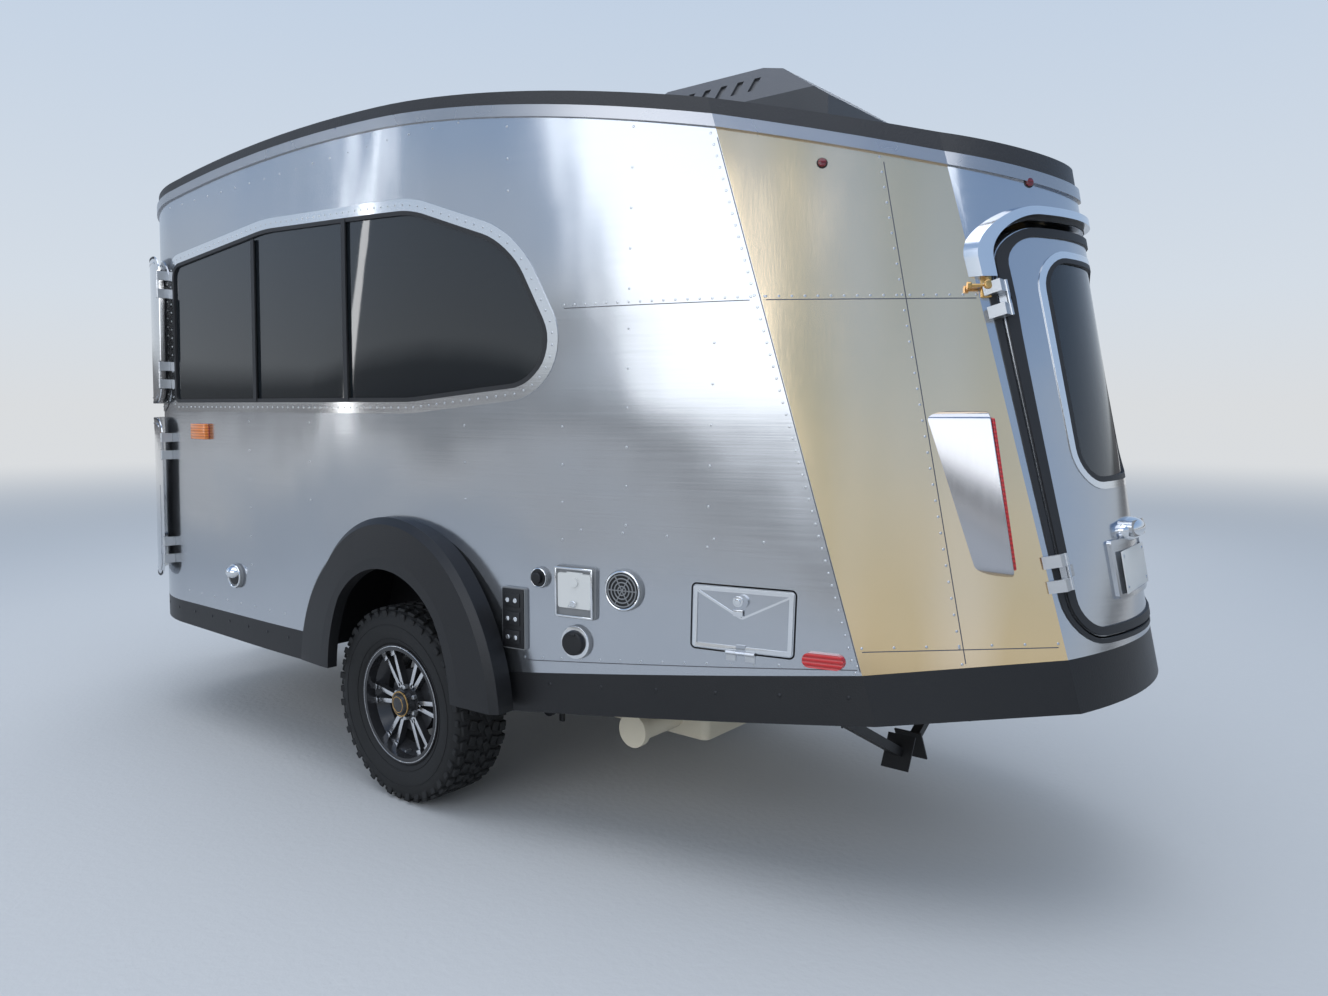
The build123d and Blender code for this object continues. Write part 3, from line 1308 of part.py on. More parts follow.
# Rock guards over the front corners, standing off the skin on hinge posts
GUARD_OFF = 42.0
GUARD_T = 3.0
GUARD_W = 772.0
GUARD_R = 70.0
GUARD_SPANS = (("upper", 1475.0, 2143.0), ("lower", 670.0, 1410.0))
GUARD_HINGE_IN = 130.0
GUARD_PIN_X = -1455.0
GUARD_SLANT = 0.15
GUARD_TAB_T = 5.0
GUARD_TAB_W = 44.0
GUARD_NOTCH = 4.0
GUARD_NOTCH_BACK = 50.0
POST_LEN = 40.0
guard_skin = ruled(front_face, -GUARD_OFF - GUARD_T, -GUARD_OFF)
guard_stand_skin = ruled(front_face, -GUARD_OFF - 0.5, -GAP)
guard_sheet = hull(-GUARD_OFF - GUARD_T / 2)
guard_posts = []
guard_axes = {}
for level, foot, top in GUARD_SPANS:
    face_plane = Plane(
        origin=(NOSE_X + CORNER_R, -(SIDE_Y_LOW - CORNER_R), (foot + top) / 2),
        x_dir=(sin(radians(45)), -cos(radians(45)), 0),
        z_dir=(-cos(radians(45)), -sin(radians(45)), 0),
    )
    with BuildSketch(face_plane) as guard_shape:
        RectangleRounded(GUARD_W, top - foot, GUARD_R)
    with BuildSketch(face_plane) as stand_shape:
        with Locations((-GUARD_W / 2 + 60, -(top - foot) / 2 + 110), (-GUARD_W / 2 + 60, (top - foot) / 2 - 110)):
            Circle(11)
    guard_prism = extrude(guard_shape.sketch, amount=BIG / 3)
    stand_prism = extrude(stand_shape.sketch, amount=BIG / 3)
    hinge_zs = (foot + GUARD_HINGE_IN, top - GUARD_HINGE_IN)
    seats = [on_skin(guard_sheet, (GUARD_PIN_X, -BIG / 2, z), (0, 1, 0)) for z in hinge_zs]
    along = (seats[1] - seats[0]).normalized()
    frames = [hinge_frame(seat, along, (-1, GUARD_SLANT, 0)) for seat in seats]
    tabs = []
    notches = []
    for frame in frames:
        with BuildPart(frame) as notch:
            with Locations((-GUARD_NOTCH_BACK / 2, 0, 0)):
                Box(2 * (HINGE_R + GUARD_NOTCH) + GUARD_NOTCH_BACK, 60, 3 * POST_LEN + 2 * GUARD_NOTCH)
        notches.append(notch.part)
        with BuildPart(frame) as tab:
            Cylinder(HINGE_R, POST_LEN - 2 * GAP)
            with Locations((GUARD_TAB_W / 2, 0, 0)):
                Box(GUARD_TAB_W, GUARD_TAB_T, POST_LEN - 2 * GAP)
        tabs.append(tab.part)
        with BuildPart(frame) as post:
            for mid in (-POST_LEN, POST_LEN):
                with Locations((0, 0, mid)):
                    Cylinder(HINGE_R, POST_LEN)
                with Locations((0, -GUARD_OFF / 2 - 4, mid)):
                    Box(2 * HINGE_R, GUARD_OFF + 8, POST_LEN)
        guard_posts.append(post.part - skin_clear)
    plate = (guard_skin & guard_prism) - notches
    stands = guard_stand_skin & stand_prism
    with BuildPart() as guard:
        add(plate)
        add(stands)
        add(tabs)
    save(guard.part, f"guard_{level}_street")
    save(guard.part.mirror(Plane.XZ), f"guard_{level}_kerb")
    guard_axes[level] = (seats[0], along)

with BuildPart() as hinge_leaves:
    add(fixed_leaves)
    for post in guard_posts:
        add(post)
        add(post.mirror(Plane.XZ))
save(hinge_leaves.part, "hinge_leaves")


# Stabiliser legs folded up under the frame rails, one at each corner
STAB_BRACKET_W = 50.0
STAB_LEG_W = 34.0
STAB_LEG_T = 30.0
STAB_PIN_R = 8.0
STAB_DROP = 34.0
STAB_FOOT_T = 6.0
STAB_FOOT_CLEAR = 16.0
STABILISERS = (
    # name, x, stowed angle from straight down
    ("front", -1160.0, 76.0),
    ("rear", 1730.0, 62.0),
)
stabiliser_brackets = []
for place, x, stowed in STABILISERS:
    rail_foot_z = CHASSIS_TOP_Z - CHASSIS_H + max(0.0, x - UPSWEEP_X) * UPSWEEP_SLOPE
    pin_z = rail_foot_z - STAB_DROP
    leg_length = pin_z - STAB_FOOT_CLEAR
    slope = degrees(atan2(UPSWEEP_SLOPE, 1)) if x > UPSWEEP_X else 0.0
    with BuildPart() as bracket:
        with Locations(Location((x, -RAIL_Y, rail_foot_z - GAP - 3), (0, -slope, 0))):
            Box(STAB_BRACKET_W, 110, 6)
        for side in (-1, 1):
            with Locations((x + side * (STAB_BRACKET_W - 5) / 2, -RAIL_Y, rail_foot_z - STAB_DROP / 2 - 12)):
                Box(5, 56, STAB_DROP + 12)
        with Locations(Location((x, -RAIL_Y, pin_z), (0, 90, 0))):
            Cylinder(STAB_PIN_R, STAB_BRACKET_W)
        with Locations(Location((x, -RAIL_Y, rail_foot_z + 30 - GAP), (0, -slope, 0))):
            Box(200, 200, 60, mode=Mode.SUBTRACT)
    stabiliser_brackets += both_sides(bracket.part)
    leg_plane = Plane(
        origin=(x, -RAIL_Y, pin_z),
        x_dir=(1, 0, 0),
        z_dir=(0, sin(radians(stowed)), -cos(radians(stowed))),
    )
    with BuildPart(leg_plane) as leg:
        with Locations((0, 0, (leg_length - 16) / 2)):
            Box(STAB_LEG_W, STAB_LEG_T, leg_length + 16)
        with Locations((0, 0, leg_length - STAB_FOOT_T / 2)):
            Box(100, 120, STAB_FOOT_T)
        with Locations(Location((0, 0, 0), (0, 90, 0))):
            Cylinder(STAB_PIN_R + 0.4, 2 * STAB_BRACKET_W, mode=Mode.SUBTRACT)
    save(leg.part, f"stabiliser_{place}_street")
    save(leg.part.mirror(Plane.XZ), f"stabiliser_{place}_kerb")
with BuildPart() as brackets:
    add(stabiliser_brackets)
save(brackets.part, "stabiliser_brackets")

# Pull-out entry step on two runners under the floor
STEP_X0, STEP_X1 = -1050.0, -470.0
STEP_Z = 404.0
STEP_Y0, STEP_Y1 = 660.0, 975.0
RUNNER_LIP = 26.0
RUNNER_T = 4.0
RUNNER_H = 44.0
RUNNER_Y0, RUNNER_Y1 = 560.0, 960.0
SLIDE_CLEAR = 0.4
runner_foot_z = STEP_Z - 6.0
with BuildPart() as step_runners:
    for x, inward in ((STEP_X0, 1), (STEP_X1, -1)):
        with BuildSketch(Plane.XZ.offset(-RUNNER_Y0)):
            web = (x - inward * RUNNER_T, x)
            Polygon(
                (web[0], runner_foot_z - RUNNER_T),
                (web[0], CHASSIS_TOP_Z),
                (web[1], CHASSIS_TOP_Z),
                (web[1], runner_foot_z + RUNNER_H + RUNNER_T),
                (web[1] + inward * RUNNER_LIP, runner_foot_z + RUNNER_H + RUNNER_T),
                (web[1] + inward * RUNNER_LIP, runner_foot_z + RUNNER_H),
                (web[1], runner_foot_z + RUNNER_H),
                (web[1], runner_foot_z),
                (web[1] + inward * RUNNER_LIP, runner_foot_z),
                (web[1] + inward * RUNNER_LIP, runner_foot_z - RUNNER_T),
                align=None,
            )
        extrude(amount=-(RUNNER_Y1 - RUNNER_Y0))
save(step_runners.part, "step_runners")
step_mid_x = (STEP_X0 + STEP_X1) / 2
step_half = (STEP_X1 - STEP_X0) / 2
with BuildPart() as entry_step:
    for side in (-1, 1):
        rail_x = step_mid_x + side * (step_half - SLIDE_CLEAR - 9)
        with Locations((rail_x, (STEP_Y0 + STEP_Y1) / 2, runner_foot_z + RUNNER_H / 2)):
            Box(18, STEP_Y1 - STEP_Y0, RUNNER_H - 2 * SLIDE_CLEAR)
    with Locations((step_mid_x, (STEP_Y0 + STEP_Y1) / 2, runner_foot_z + RUNNER_H / 2)):
        Box(2 * step_half - 60, STEP_Y1 - STEP_Y0, 5)
    for side in (-1, 1):
        link_x = step_mid_x + side * (step_half - 24)
        with Locations((link_x, (STEP_Y0 + STEP_Y1) / 2, runner_foot_z + RUNNER_H / 2)):
            Box(24, STEP_Y1 - STEP_Y0, 5)
    with Locations((step_mid_x, STEP_Y1 + 10, runner_foot_z + RUNNER_H / 2 - 4)):
        Box(2 * step_half - 8, 20, RUNNER_H - 8)
save(entry_step.part, "entry_step")

# Marker and clearance lamps
LAMP_PROUD = 16.0
SIDE_LAMPS = (
    # x on the street side, x on the kerb side, z, width, height, radius
    (-1154.0, -1262.0, 1352.0, 130.0, 65.0, 14.0),
    (1810.0, 1810.0, 752.0, 115.0, 42.0, 20.0),
)
lamp_skin = ruled(side_face, -LAMP_PROUD, -GAP)
with BuildPart() as marker_lamps:
    for street_x, kerb_x, z, width, height, radius in SIDE_LAMPS:
        for x, toward in ((street_x, -BIG / 2), (kerb_x, BIG / 2)):
            with BuildSketch(Plane.XZ) as lamp_shape:
                with Locations((x, z)):
                    RectangleRounded(width, height, radius)
            extrude(amount=-toward)
lamp_pair = lamp_skin + lamp_skin.mirror(Plane.XZ)
lamps = marker_lamps.part & lamp_pair
save(lamps, "marker_lamps")

# Inside: galley across the front, two benches with cushions
ROOM_FLOOR_Z = ROCKER_TOP_Z
GALLEY_TOP_Z = 1400.0
GALLEY_REAR_X = -1420.0
GALLEY_T = 30.0
BENCH_X0, BENCH_X1 = 80.0, 1500.0
BENCH_TOP_Z = 1010.0
BENCH_INNER_Y = 330.0
CUSHION_T = 110.0
galley_plan = hull(WALL_T + 2)
galley_box = Pos((NOSE_X + GALLEY_REAR_X) / 2, 0, (ROOM_FLOOR_Z + GALLEY_TOP_Z) / 2 + GAP) * Box(
    GALLEY_REAR_X - NOSE_X, BIG, GALLEY_TOP_Z - ROOM_FLOOR_Z
)
galley_hollow = Pos((NOSE_X + GALLEY_REAR_X) / 2, 0, (ROOM_FLOOR_Z + GALLEY_TOP_Z) / 2) * Box(
    GALLEY_REAR_X - NOSE_X - 2 * GALLEY_T, BIG, GALLEY_TOP_Z - ROOM_FLOOR_Z - 2 * GALLEY_T
)
galley_solid = (galley_plan & galley_box) - (hull(WALL_T + 40) & galley_hollow)
with BuildPart() as galley:
    add(galley_solid)
save(galley.part, "galley")
bench_side = hull(WALL_T + 4)
bench_box = Pos((BENCH_X0 + BENCH_X1) / 2, -(BENCH_INNER_Y + SIDE_Y_LOW) / 2, (ROOM_FLOOR_Z + BENCH_TOP_Z) / 2) * Box(
    BENCH_X1 - BENCH_X0, SIDE_Y_LOW - BENCH_INNER_Y, BENCH_TOP_Z - ROOM_FLOOR_Z
)
cushion_box = Pos(
    (BENCH_X0 + BENCH_X1) / 2, -(BENCH_INNER_Y + SIDE_Y_LOW) / 2, BENCH_TOP_Z + CUSHION_T / 2 + 2 * GAP
) * Box(BENCH_X1 - BENCH_X0 - 8, SIDE_Y_LOW - BENCH_INNER_Y, CUSHION_T)
well_clear = side_prism(
    arch_outline(ARCH_FOOT_W + WELL_T + 1, ARCH_TOP_W + WELL_T + 1, ARCH_TOP_Z + WELL_T + 1, ARCH_R + WELL_T),
    -BIG / 2,
    -WELL_INNER_Y + WELL_T + 1,
)
BENCH_T = 18.0
bench_block = (bench_side & bench_box) - below_rocker(GAP) - well_clear
bench_room = Pos((BENCH_X0 + BENCH_X1) / 2, -(BENCH_INNER_Y + SIDE_Y_LOW) / 2, (ROOM_FLOOR_Z + BENCH_TOP_Z) / 2) * Box(
    BENCH_X1 - BENCH_X0 - 2 * BENCH_T, SIDE_Y_LOW - BENCH_INNER_Y - 2 * BENCH_T, BENCH_TOP_Z - ROOM_FLOOR_Z - 2 * BENCH_T
)
well_wide = side_prism(
    arch_outline(ARCH_FOOT_W + 60, ARCH_TOP_W + 60, ARCH_TOP_Z + 60, ARCH_R + 60), -BIG / 2, -WELL_INNER_Y + 60
)
bench_void = (bench_room & hull(WALL_T + 4 + BENCH_T)) - below_rocker(BENCH_T) - well_wide
bench_solid = bench_block - bench_void
cushion_solid = hull(WALL_T + 8) & cushion_box
with BuildPart() as bench:
    add(bench_solid)
save(bench.part, "bench_street")
save(bench.part.mirror(Plane.XZ), "bench_kerb")
with BuildPart() as cushion:
    add(cushion_solid)
save(cushion.part, "cushion_street")
save(cushion.part.mirror(Plane.XZ), "cushion_kerb")
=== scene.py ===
# %% [markdown]
# # A riveted aluminium caravan
# The solids of the caravan come in ready made, at their real size and place. This lesson dresses
# them: bare aluminium, black mouldings, tinted glass, rivets, trims, tyre treads and cushions.

# %% The solids and their measures
from math import atan2, ceil, cos, pi, radians, sin, tan

import bmesh
import bpy
from mathutils import Matrix, Vector
from mathutils.bvhtree import BVHTree


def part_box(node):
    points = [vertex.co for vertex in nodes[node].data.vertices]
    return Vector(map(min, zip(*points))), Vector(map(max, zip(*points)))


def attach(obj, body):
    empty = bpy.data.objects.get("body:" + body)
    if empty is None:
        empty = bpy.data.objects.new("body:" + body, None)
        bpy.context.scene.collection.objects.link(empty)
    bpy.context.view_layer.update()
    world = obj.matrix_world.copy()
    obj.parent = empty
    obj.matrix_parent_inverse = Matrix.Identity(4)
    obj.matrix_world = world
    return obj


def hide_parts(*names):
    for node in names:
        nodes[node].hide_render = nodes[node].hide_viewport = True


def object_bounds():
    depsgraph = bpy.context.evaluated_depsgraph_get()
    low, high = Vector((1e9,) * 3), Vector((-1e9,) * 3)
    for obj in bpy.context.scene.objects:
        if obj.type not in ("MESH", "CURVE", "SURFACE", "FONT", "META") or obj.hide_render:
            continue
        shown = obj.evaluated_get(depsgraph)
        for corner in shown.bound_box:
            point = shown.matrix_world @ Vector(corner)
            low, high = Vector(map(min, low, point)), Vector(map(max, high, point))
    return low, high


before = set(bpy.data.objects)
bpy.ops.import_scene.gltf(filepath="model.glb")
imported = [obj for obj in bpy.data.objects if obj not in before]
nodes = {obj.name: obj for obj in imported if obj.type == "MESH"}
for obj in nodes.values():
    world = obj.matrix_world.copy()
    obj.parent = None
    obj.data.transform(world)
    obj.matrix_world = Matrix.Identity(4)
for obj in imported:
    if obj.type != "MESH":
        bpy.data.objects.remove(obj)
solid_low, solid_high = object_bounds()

print("solids:", len(nodes), "size:", [round(v, 3) for v in solid_high - solid_low])

# %% [markdown]
# ## Finishes written as sums
# A finish is a small network of nodes. Dragging wires one by one is slow to read in code, so a
# `Wire` stands for a socket and takes +, - and *, each of which adds its own Math node. One method,
# `Finish.node`, adds every other kind: it sets what the node is first, and then fills its sockets.


# %% Wires and finishes
class Wire:
    """An output socket that can stand in a sum."""

    def __init__(self, finish, socket):
        self.finish = finish
        self.socket = socket

    def _sum(self, operation, first, second):
        return self.finish.node("ShaderNodeMath", {"operation": operation}, {0: first, 1: second})

    def __add__(self, other):
        return self._sum("ADD", self, other)

    def __sub__(self, other):
        return self._sum("SUBTRACT", self, other)

    def __mul__(self, other):
        return self._sum("MULTIPLY", self, other)

    __radd__ = __add__
    __rmul__ = __mul__


class Finish:
    """One material with a Principled shader, filled in by wires."""

    def __init__(self, name, colour, roughness, metallic=0.0, **others):
        self.material = bpy.data.materials.new(name)
        self.material.use_nodes = True
        self.tree = self.material.node_tree
        self.shader = self.tree.nodes["Principled BSDF"]
        self.shader.inputs["Base Color"].default_value = (*colour, 1.0)
        self.set(Roughness=roughness, Metallic=metallic, **others)
        self.material.diffuse_color = (*colour, 1.0)

    def put(self, socket, value):
        if isinstance(value, Wire):
            self.tree.links.new(value.socket, socket)
        else:
            socket.default_value = value

    def set(self, **sockets):
        for name, value in sockets.items():
            self.put(self.shader.inputs[name.replace("_", " ")], value)

    def node(self, kind, settings, sockets, output=0):
        made = self.tree.nodes.new(kind)
        for name, value in settings.items():
            setattr(made, name, value)
        for key, value in sockets.items():
            self.put(made.inputs[key], value)
        return Wire(self, made.outputs[output])

    def place(self, scale=(1, 1, 1)):
        """Where a point lies on the piece, in metres times scale."""
        spot = self.node("ShaderNodeTexCoord", {}, {}, "Object")
        return self.node("ShaderNodeMapping", {}, {"Vector": spot, "Scale": scale})

    def noise(self, scale, detail=3.0, stretch=(1, 1, 1), rough=0.5):
        return self.node("ShaderNodeTexNoise", {}, {
            "Vector": self.place(stretch), "Scale": scale, "Detail": detail, "Roughness": rough})

    def blend(self, share, first, second):
        """One colour where share is 0 and the other where it is 1."""
        return self.node("ShaderNodeMix", {"data_type": "RGBA"}, {
            "Factor": share, 6: (*first, 1.0) if isinstance(first, tuple) else first,
            7: (*second, 1.0) if isinstance(second, tuple) else second}, 2)

    def dent(self, height, depth, under=None):
        """Shading as if the surface rose by height times depth, in metres."""
        sockets = {"Height": height, "Distance": depth, "Strength": 1.0}
        if under is not None:
            sockets["Normal"] = under
        return self.node("ShaderNodeBump", {}, sockets)


# %% [markdown]
# ## Bare aluminium sheet
# The skin is thin polished sheet on ribs. It is never flat: between the ribs it quilts a little, and
# every lamp and cloud runs down it as a wavering streak. The rolling left fine lines along the
# sheet. Slow noise as a bump gives the quilting, stretched noise in the roughness gives the lines.


# %% The sheet finish
def bare_sheet(name, colour, gloss, quilt, grain_axis="x", painted_reflection_streaks=None):
    sheet = Finish(name, colour, gloss, 0.96)
    along = {"x": (1.0, 1.0, 60.0), "z": (60.0, 60.0, 1.0)}[grain_axis]
    grain = sheet.noise(2.2, 4.0, along)
    smudge = sheet.noise(1.6, 5.0)
    slow = sheet.noise(1.15, 1.0, (0.8, 0.8, 1.0))
    ripple = sheet.noise(4.5, 1.0, (1.0, 1.0, 0.4))
    sheet.set(Roughness=gloss + 0.10 * (smudge - 0.5) + 0.07 * (grain - 0.5))
    darker = tuple(0.90 * c for c in colour)
    cast = sheet.blend(smudge, darker, colour)
    # A streak colour, where given, is a painted reflection: broad vertical bands of it stand in for warm
    # light mirrored down the sheet.
    if painted_reflection_streaks:
        broad = sheet.noise(2.6, 1.0, (1.0, 1.0, 0.06))
        share = sheet.node("ShaderNodeMapRange", {}, {"Value": broad, 1: 0.42, 2: 0.62})
        cast = sheet.blend(share, cast, painted_reflection_streaks)
    sheet.set(Base_Color=cast)
    sheet.set(Normal=sheet.dent(slow, quilt, sheet.dent(ripple, 0.13 * quilt, sheet.dent(grain, 0.00006))))
    return sheet.material


skin_sheet = bare_sheet("bare aluminium skin", (0.55, 0.57, 0.60), 0.18, 0.040)
# The gold of the quarter panels is a painted warm reflection, not the colour of the bare sheet, and its paler
# streaks are painted reflection too.
quarter_painted_reflection = bare_sheet("aluminium quarter, painted warm reflection", (0.88, 0.66, 0.38), 0.18, 0.024, "z", (0.97, 0.77, 0.54))
guard_sheet = bare_sheet("polished guard sheet", (0.72, 0.73, 0.75), 0.14, 0.006)
trim_sheet = bare_sheet("polished trim", (0.84, 0.85, 0.86), 0.13, 0.001)
rivet_metal = bare_sheet("rivet heads", (0.62, 0.63, 0.64), 0.28, 0.0)
pod_metal = bare_sheet("polished lamp pods", (0.52, 0.52, 0.54), 0.16, 0.004, "z")
print("sheet finishes made")

# %% [markdown]
# ## Mouldings, rubber and paint
# The black mouldings are sprayed with a pebbled coat that catches the sky as a grey bloom. Fine
# noise as a bump breaks the highlight up; a slower noise keeps one area from matching the next.


# %% Moulded, painted and plated finishes
def grained(name, colour, roughness, pebble=260.0, depth=0.0004, dust=0.15, metallic=0.0, shine=0.5):
    finish = Finish(name, colour, roughness, metallic, Specular_IOR_Level=shine)
    fine = finish.noise(pebble, 2.0)
    slow = finish.noise(3.0, 4.0)
    lighter = tuple(min(1.0, c + dust * 0.18) for c in colour)
    finish.set(Base_Color=finish.blend(slow, colour, lighter))
    finish.set(Roughness=roughness + 0.14 * (slow - 0.5))
    finish.set(Normal=finish.dent(fine, depth))
    return finish.material


black_moulding = grained("black pebbled moulding", (0.009, 0.009, 0.010), 0.40, 210.0, 0.0005, 0.03,
                         shine=0.40)
roof_coat = grained("black roof coating", (0.024, 0.024, 0.026), 0.50, 120.0, 0.0012, 0.1, shine=0.40)
rail_paint = grained("grey rail", (0.42, 0.42, 0.43), 0.28, 300.0, 0.0001, 0.1, 0.9)
chassis_paint = grained("chassis paint", (0.010, 0.010, 0.011), 0.48, 160.0, 0.0003, 0.06, shine=0.40)
zinc_plate = grained("zinc plate", (0.58, 0.59, 0.60), 0.32, 90.0, 0.0002, 0.2, 0.9)
rubber_seal = grained("rubber seal", (0.012, 0.012, 0.013), 0.55, 300.0, 0.0002, 0.05)
tyre_rubber = grained("tyre rubber", (0.011, 0.011, 0.011), 0.70, 150.0, 0.0006, 0.08, shine=0.30)
tank_moulding = grained("tank moulding", (0.62, 0.56, 0.43), 0.55, 60.0, 0.0004, 0.3)
shroud_moulding = grained("cooler shroud", (0.045, 0.047, 0.052), 0.46, 200.0, 0.0005)
fitting_moulding = grained("grey fitting", (0.20, 0.205, 0.21), 0.38, 240.0, 0.0002)
white_fitting = grained("pale fitting", (0.62, 0.62, 0.60), 0.36, 240.0, 0.0002)
bottle_coat = grained("bottle paint", (0.74, 0.74, 0.71), 0.34, 120.0, 0.0003)
alloy_black = grained("gloss black alloy", (0.014, 0.014, 0.016), 0.20, 180.0, 0.00005)
# This dark finish is painted shade: the lines along the laps and the gap round the access door.
seam_shade = grained("shade in a lap", (0.10, 0.10, 0.11), 0.40, 200.0, 0.0001, 0.1, 0.6)
board_edge = grained("floor board", (0.22, 0.19, 0.15), 0.62, 80.0, 0.0004)

machined = Finish("machined alloy", (0.72, 0.72, 0.73), 0.22, 1.0)
lathe = machined.noise(9.0, 2.0, (40.0, 1.0, 40.0))
machined.set(Roughness=0.18 + 0.12 * lathe, Normal=machined.dent(lathe, 0.00008))
brass = Finish("brass cap", (0.62, 0.38, 0.14), 0.26, 1.0)
brass.set(Roughness=0.2 + 0.16 * brass.noise(30.0))
print("moulded finishes made")

# %% [markdown]
# ## Glass and lenses
# The windows are tinted so deep that from outside they are near black mirrors. A dark, smooth
# shader that lets little more than a tenth of the light through shows the benches faintly.

# %% Glass and lens finishes
tinted = Finish("tinted glass", (0.010, 0.013, 0.016), 0.03)
tinted.set(IOR=1.6, Coat_Weight=0.4, Coat_Roughness=0.02, Alpha=0.86 + 0.04 * tinted.noise(0.8, 1.0))
tinted.set(Normal=tinted.dent(tinted.noise(1.2, 1.0), 0.004))
tinted_glass = tinted.material


def lens(name, colour, painted_glow):
    """A lens with a fluted inner face whose darker bands are painted shade, and a faint painted glow in place
    of light sent back by the bright reflector.
    """
    finish = Finish(name, colour, 0.12, Coat_Weight=0.6, Coat_Roughness=0.05)
    flutes = finish.node("ShaderNodeTexWave", {"wave_type": "BANDS", "bands_direction": "Z"}, {
        "Vector": finish.place(), "Scale": 26.0, "Distortion": 0.0})
    finish.set(Base_Color=finish.blend(flutes, tuple(0.55 * c for c in colour), colour))
    finish.set(Emission_Color=(*colour, 1.0), Emission_Strength=painted_glow)
    finish.set(Normal=finish.dent(flutes, 0.0012))
    return finish.material


# The small glow given to each lens is painted light.
red_lens = lens("red lens", (0.52, 0.008, 0.010), 0.10)
amber_lens = lens("amber lens", (0.70, 0.20, 0.03), 0.12)
dark_lens = lens("dark red lens", (0.16, 0.006, 0.010), 0.02)

# %% [markdown]
# ## Inside: laminate and woven cloth
# Cabinets are pale laminate with a drawn-out wood figure. The seats wear a heavy weave: two sets
# of bands cross at right angles, and their product raises a thread where they meet.

# %% Cabinet and cloth finishes
laminate = Finish("cabinet laminate", (0.56, 0.47, 0.36), 0.42)
figure = laminate.noise(5.0, 6.0, (1.0, 1.0, 9.0), 0.6)
laminate.set(Base_Color=laminate.blend(figure, (0.46, 0.37, 0.27), (0.66, 0.57, 0.45)))
laminate.set(Normal=laminate.dent(figure, 0.0003), Roughness=0.36 + 0.16 * figure)

cloth = Finish("woven seat cloth", (0.20, 0.21, 0.23), 0.92)
warp, weft = (
    cloth.node("ShaderNodeTexWave", {"wave_type": "BANDS", "bands_direction": way}, {
        "Vector": cloth.place(), "Scale": 120.0, "Distortion": 0.4})
    for way in ("X", "Y"))
weave = warp * weft
# Where the weave is low the colour is darker, as painted shade between the threads; the noise adds random
# tone.
cloth.set(Base_Color=cloth.blend(weave + 0.5 * cloth.noise(14.0), (0.12, 0.13, 0.15), (0.30, 0.31, 0.33)))
cloth.set(Normal=cloth.dent(weave, 0.0009), Sheen_Weight=0.3)
print("materials so far:", len(bpy.data.materials))

# %% [markdown]
# ## Which solid wears which finish
# The solids keep their shapes and only change their clothes. A table of finish and solids is easier
# to check against the object than a rule would be.

# %% Dress the solids
finishes = {
    "body_skin": (skin_sheet, "wall_street wall_kerb wall_front tail_surround hatch entry_door access_door"),
    "quarter_skin": (quarter_painted_reflection, "quarter_street quarter_kerb"),
    "pods": (pod_metal, "tail_pods"),
    "guards": (guard_sheet, "guard_upper_street guard_upper_kerb guard_lower_street guard_lower_kerb"),
    "trim": (trim_sheet, "drip_cap"),
    "rail": (rail_paint, "roof_rail"),
    "roof": (roof_coat, "roof"),
    "mouldings": (black_moulding, "rocker flare_street flare_kerb well_street well_kerb"),
    "steel": (chassis_paint, "chassis axle coupler entry_step step_runners stabiliser_brackets "
              "stabiliser_front_street stabiliser_front_kerb stabiliser_rear_street stabiliser_rear_kerb"),
    "zinc": (zinc_plate, "jack_tube jack_leg hinge_leaves"),
    "alloy": (alloy_black, "rim_street rim_kerb"),
    "tyres": (tyre_rubber, "tyre_street tyre_kerb"),
    "glass": (tinted_glass, "windows_street windows_kerb windows_front hatch_glass door_glass"),
    "bottles": (bottle_coat, "gas_bottles"),
    "tank": (tank_moulding, "waste_tank"),
    "lenses": (red_lens, "tail_lenses marker_lamps"),
    "fittings": (fitting_moulding, "utility_fittings"),
    "lid": (white_fitting, "fill_lid"),
    "cooler": (shroud_moulding, "air_conditioner"),
    "cabinets": (laminate.material, "galley bench_street bench_kerb"),
    "cushions": (cloth.material, "cushion_street cushion_kerb"),
    "floor": (board_edge, "floor"),
}
dressed = set()
for finish, names in finishes.values():
    for name in names.split():
        nodes[name].data.materials.clear()
        nodes[name].data.materials.append(finish)
        dressed.add(name)
print("bare solids:", sorted(set(nodes) - dressed))

# %% [markdown]
# ## Working on a curved skin
# Trims, seams and rivets lie on a wall that bends two ways. Drawing them flat and pressing them
# onto the wall is simpler than finding the curve: a piece is drawn in a view plane, and each of its
# points then travels along the view until it meets the skin. A view is a matrix whose x and z lie
# in the drawing and whose y looks into the body.

# %% Views and the press
ROOT = "body_shell"


def all_of(bm):
    return bm.verts[:] + bm.edges[:] + bm.faces[:]


def cut_off(bm, place, way):
    """Removes what lies beyond place in the direction way, and returns the edges of the cut."""
    cut = bmesh.ops.bisect_plane(bm, geom=all_of(bm), dist=1e-6, plane_co=place, plane_no=way,
                                 clear_outer=True)
    return [g for g in cut["geom_cut"] if isinstance(g, bmesh.types.BMEdge)]


def round_edges(bm, edges, reach, segments):
    return bmesh.ops.bevel(bm, geom=edges, offset=reach, segments=segments, profile=0.5, affect="EDGES",
                           material=-1)


def tree_of(*names):
    bm = bmesh.new()
    for name in names:
        bm.from_mesh(nodes[name].data)
    bmesh.ops.remove_doubles(bm, verts=bm.verts, dist=1e-6)
    tree = BVHTree.FromBMesh(bm)
    bm.free()
    return tree


shell = tree_of("wall_street", "wall_kerb", "wall_front", "quarter_street", "quarter_kerb", "tail_surround")
panes = tree_of("windows_street", "windows_kerb", "windows_front", "hatch_glass", "door_glass")
PANE_DEEP = 0.005
hatch_skin = tree_of("hatch")
lamp_skin = tree_of("marker_lamps")
door_skin = tree_of("entry_door")


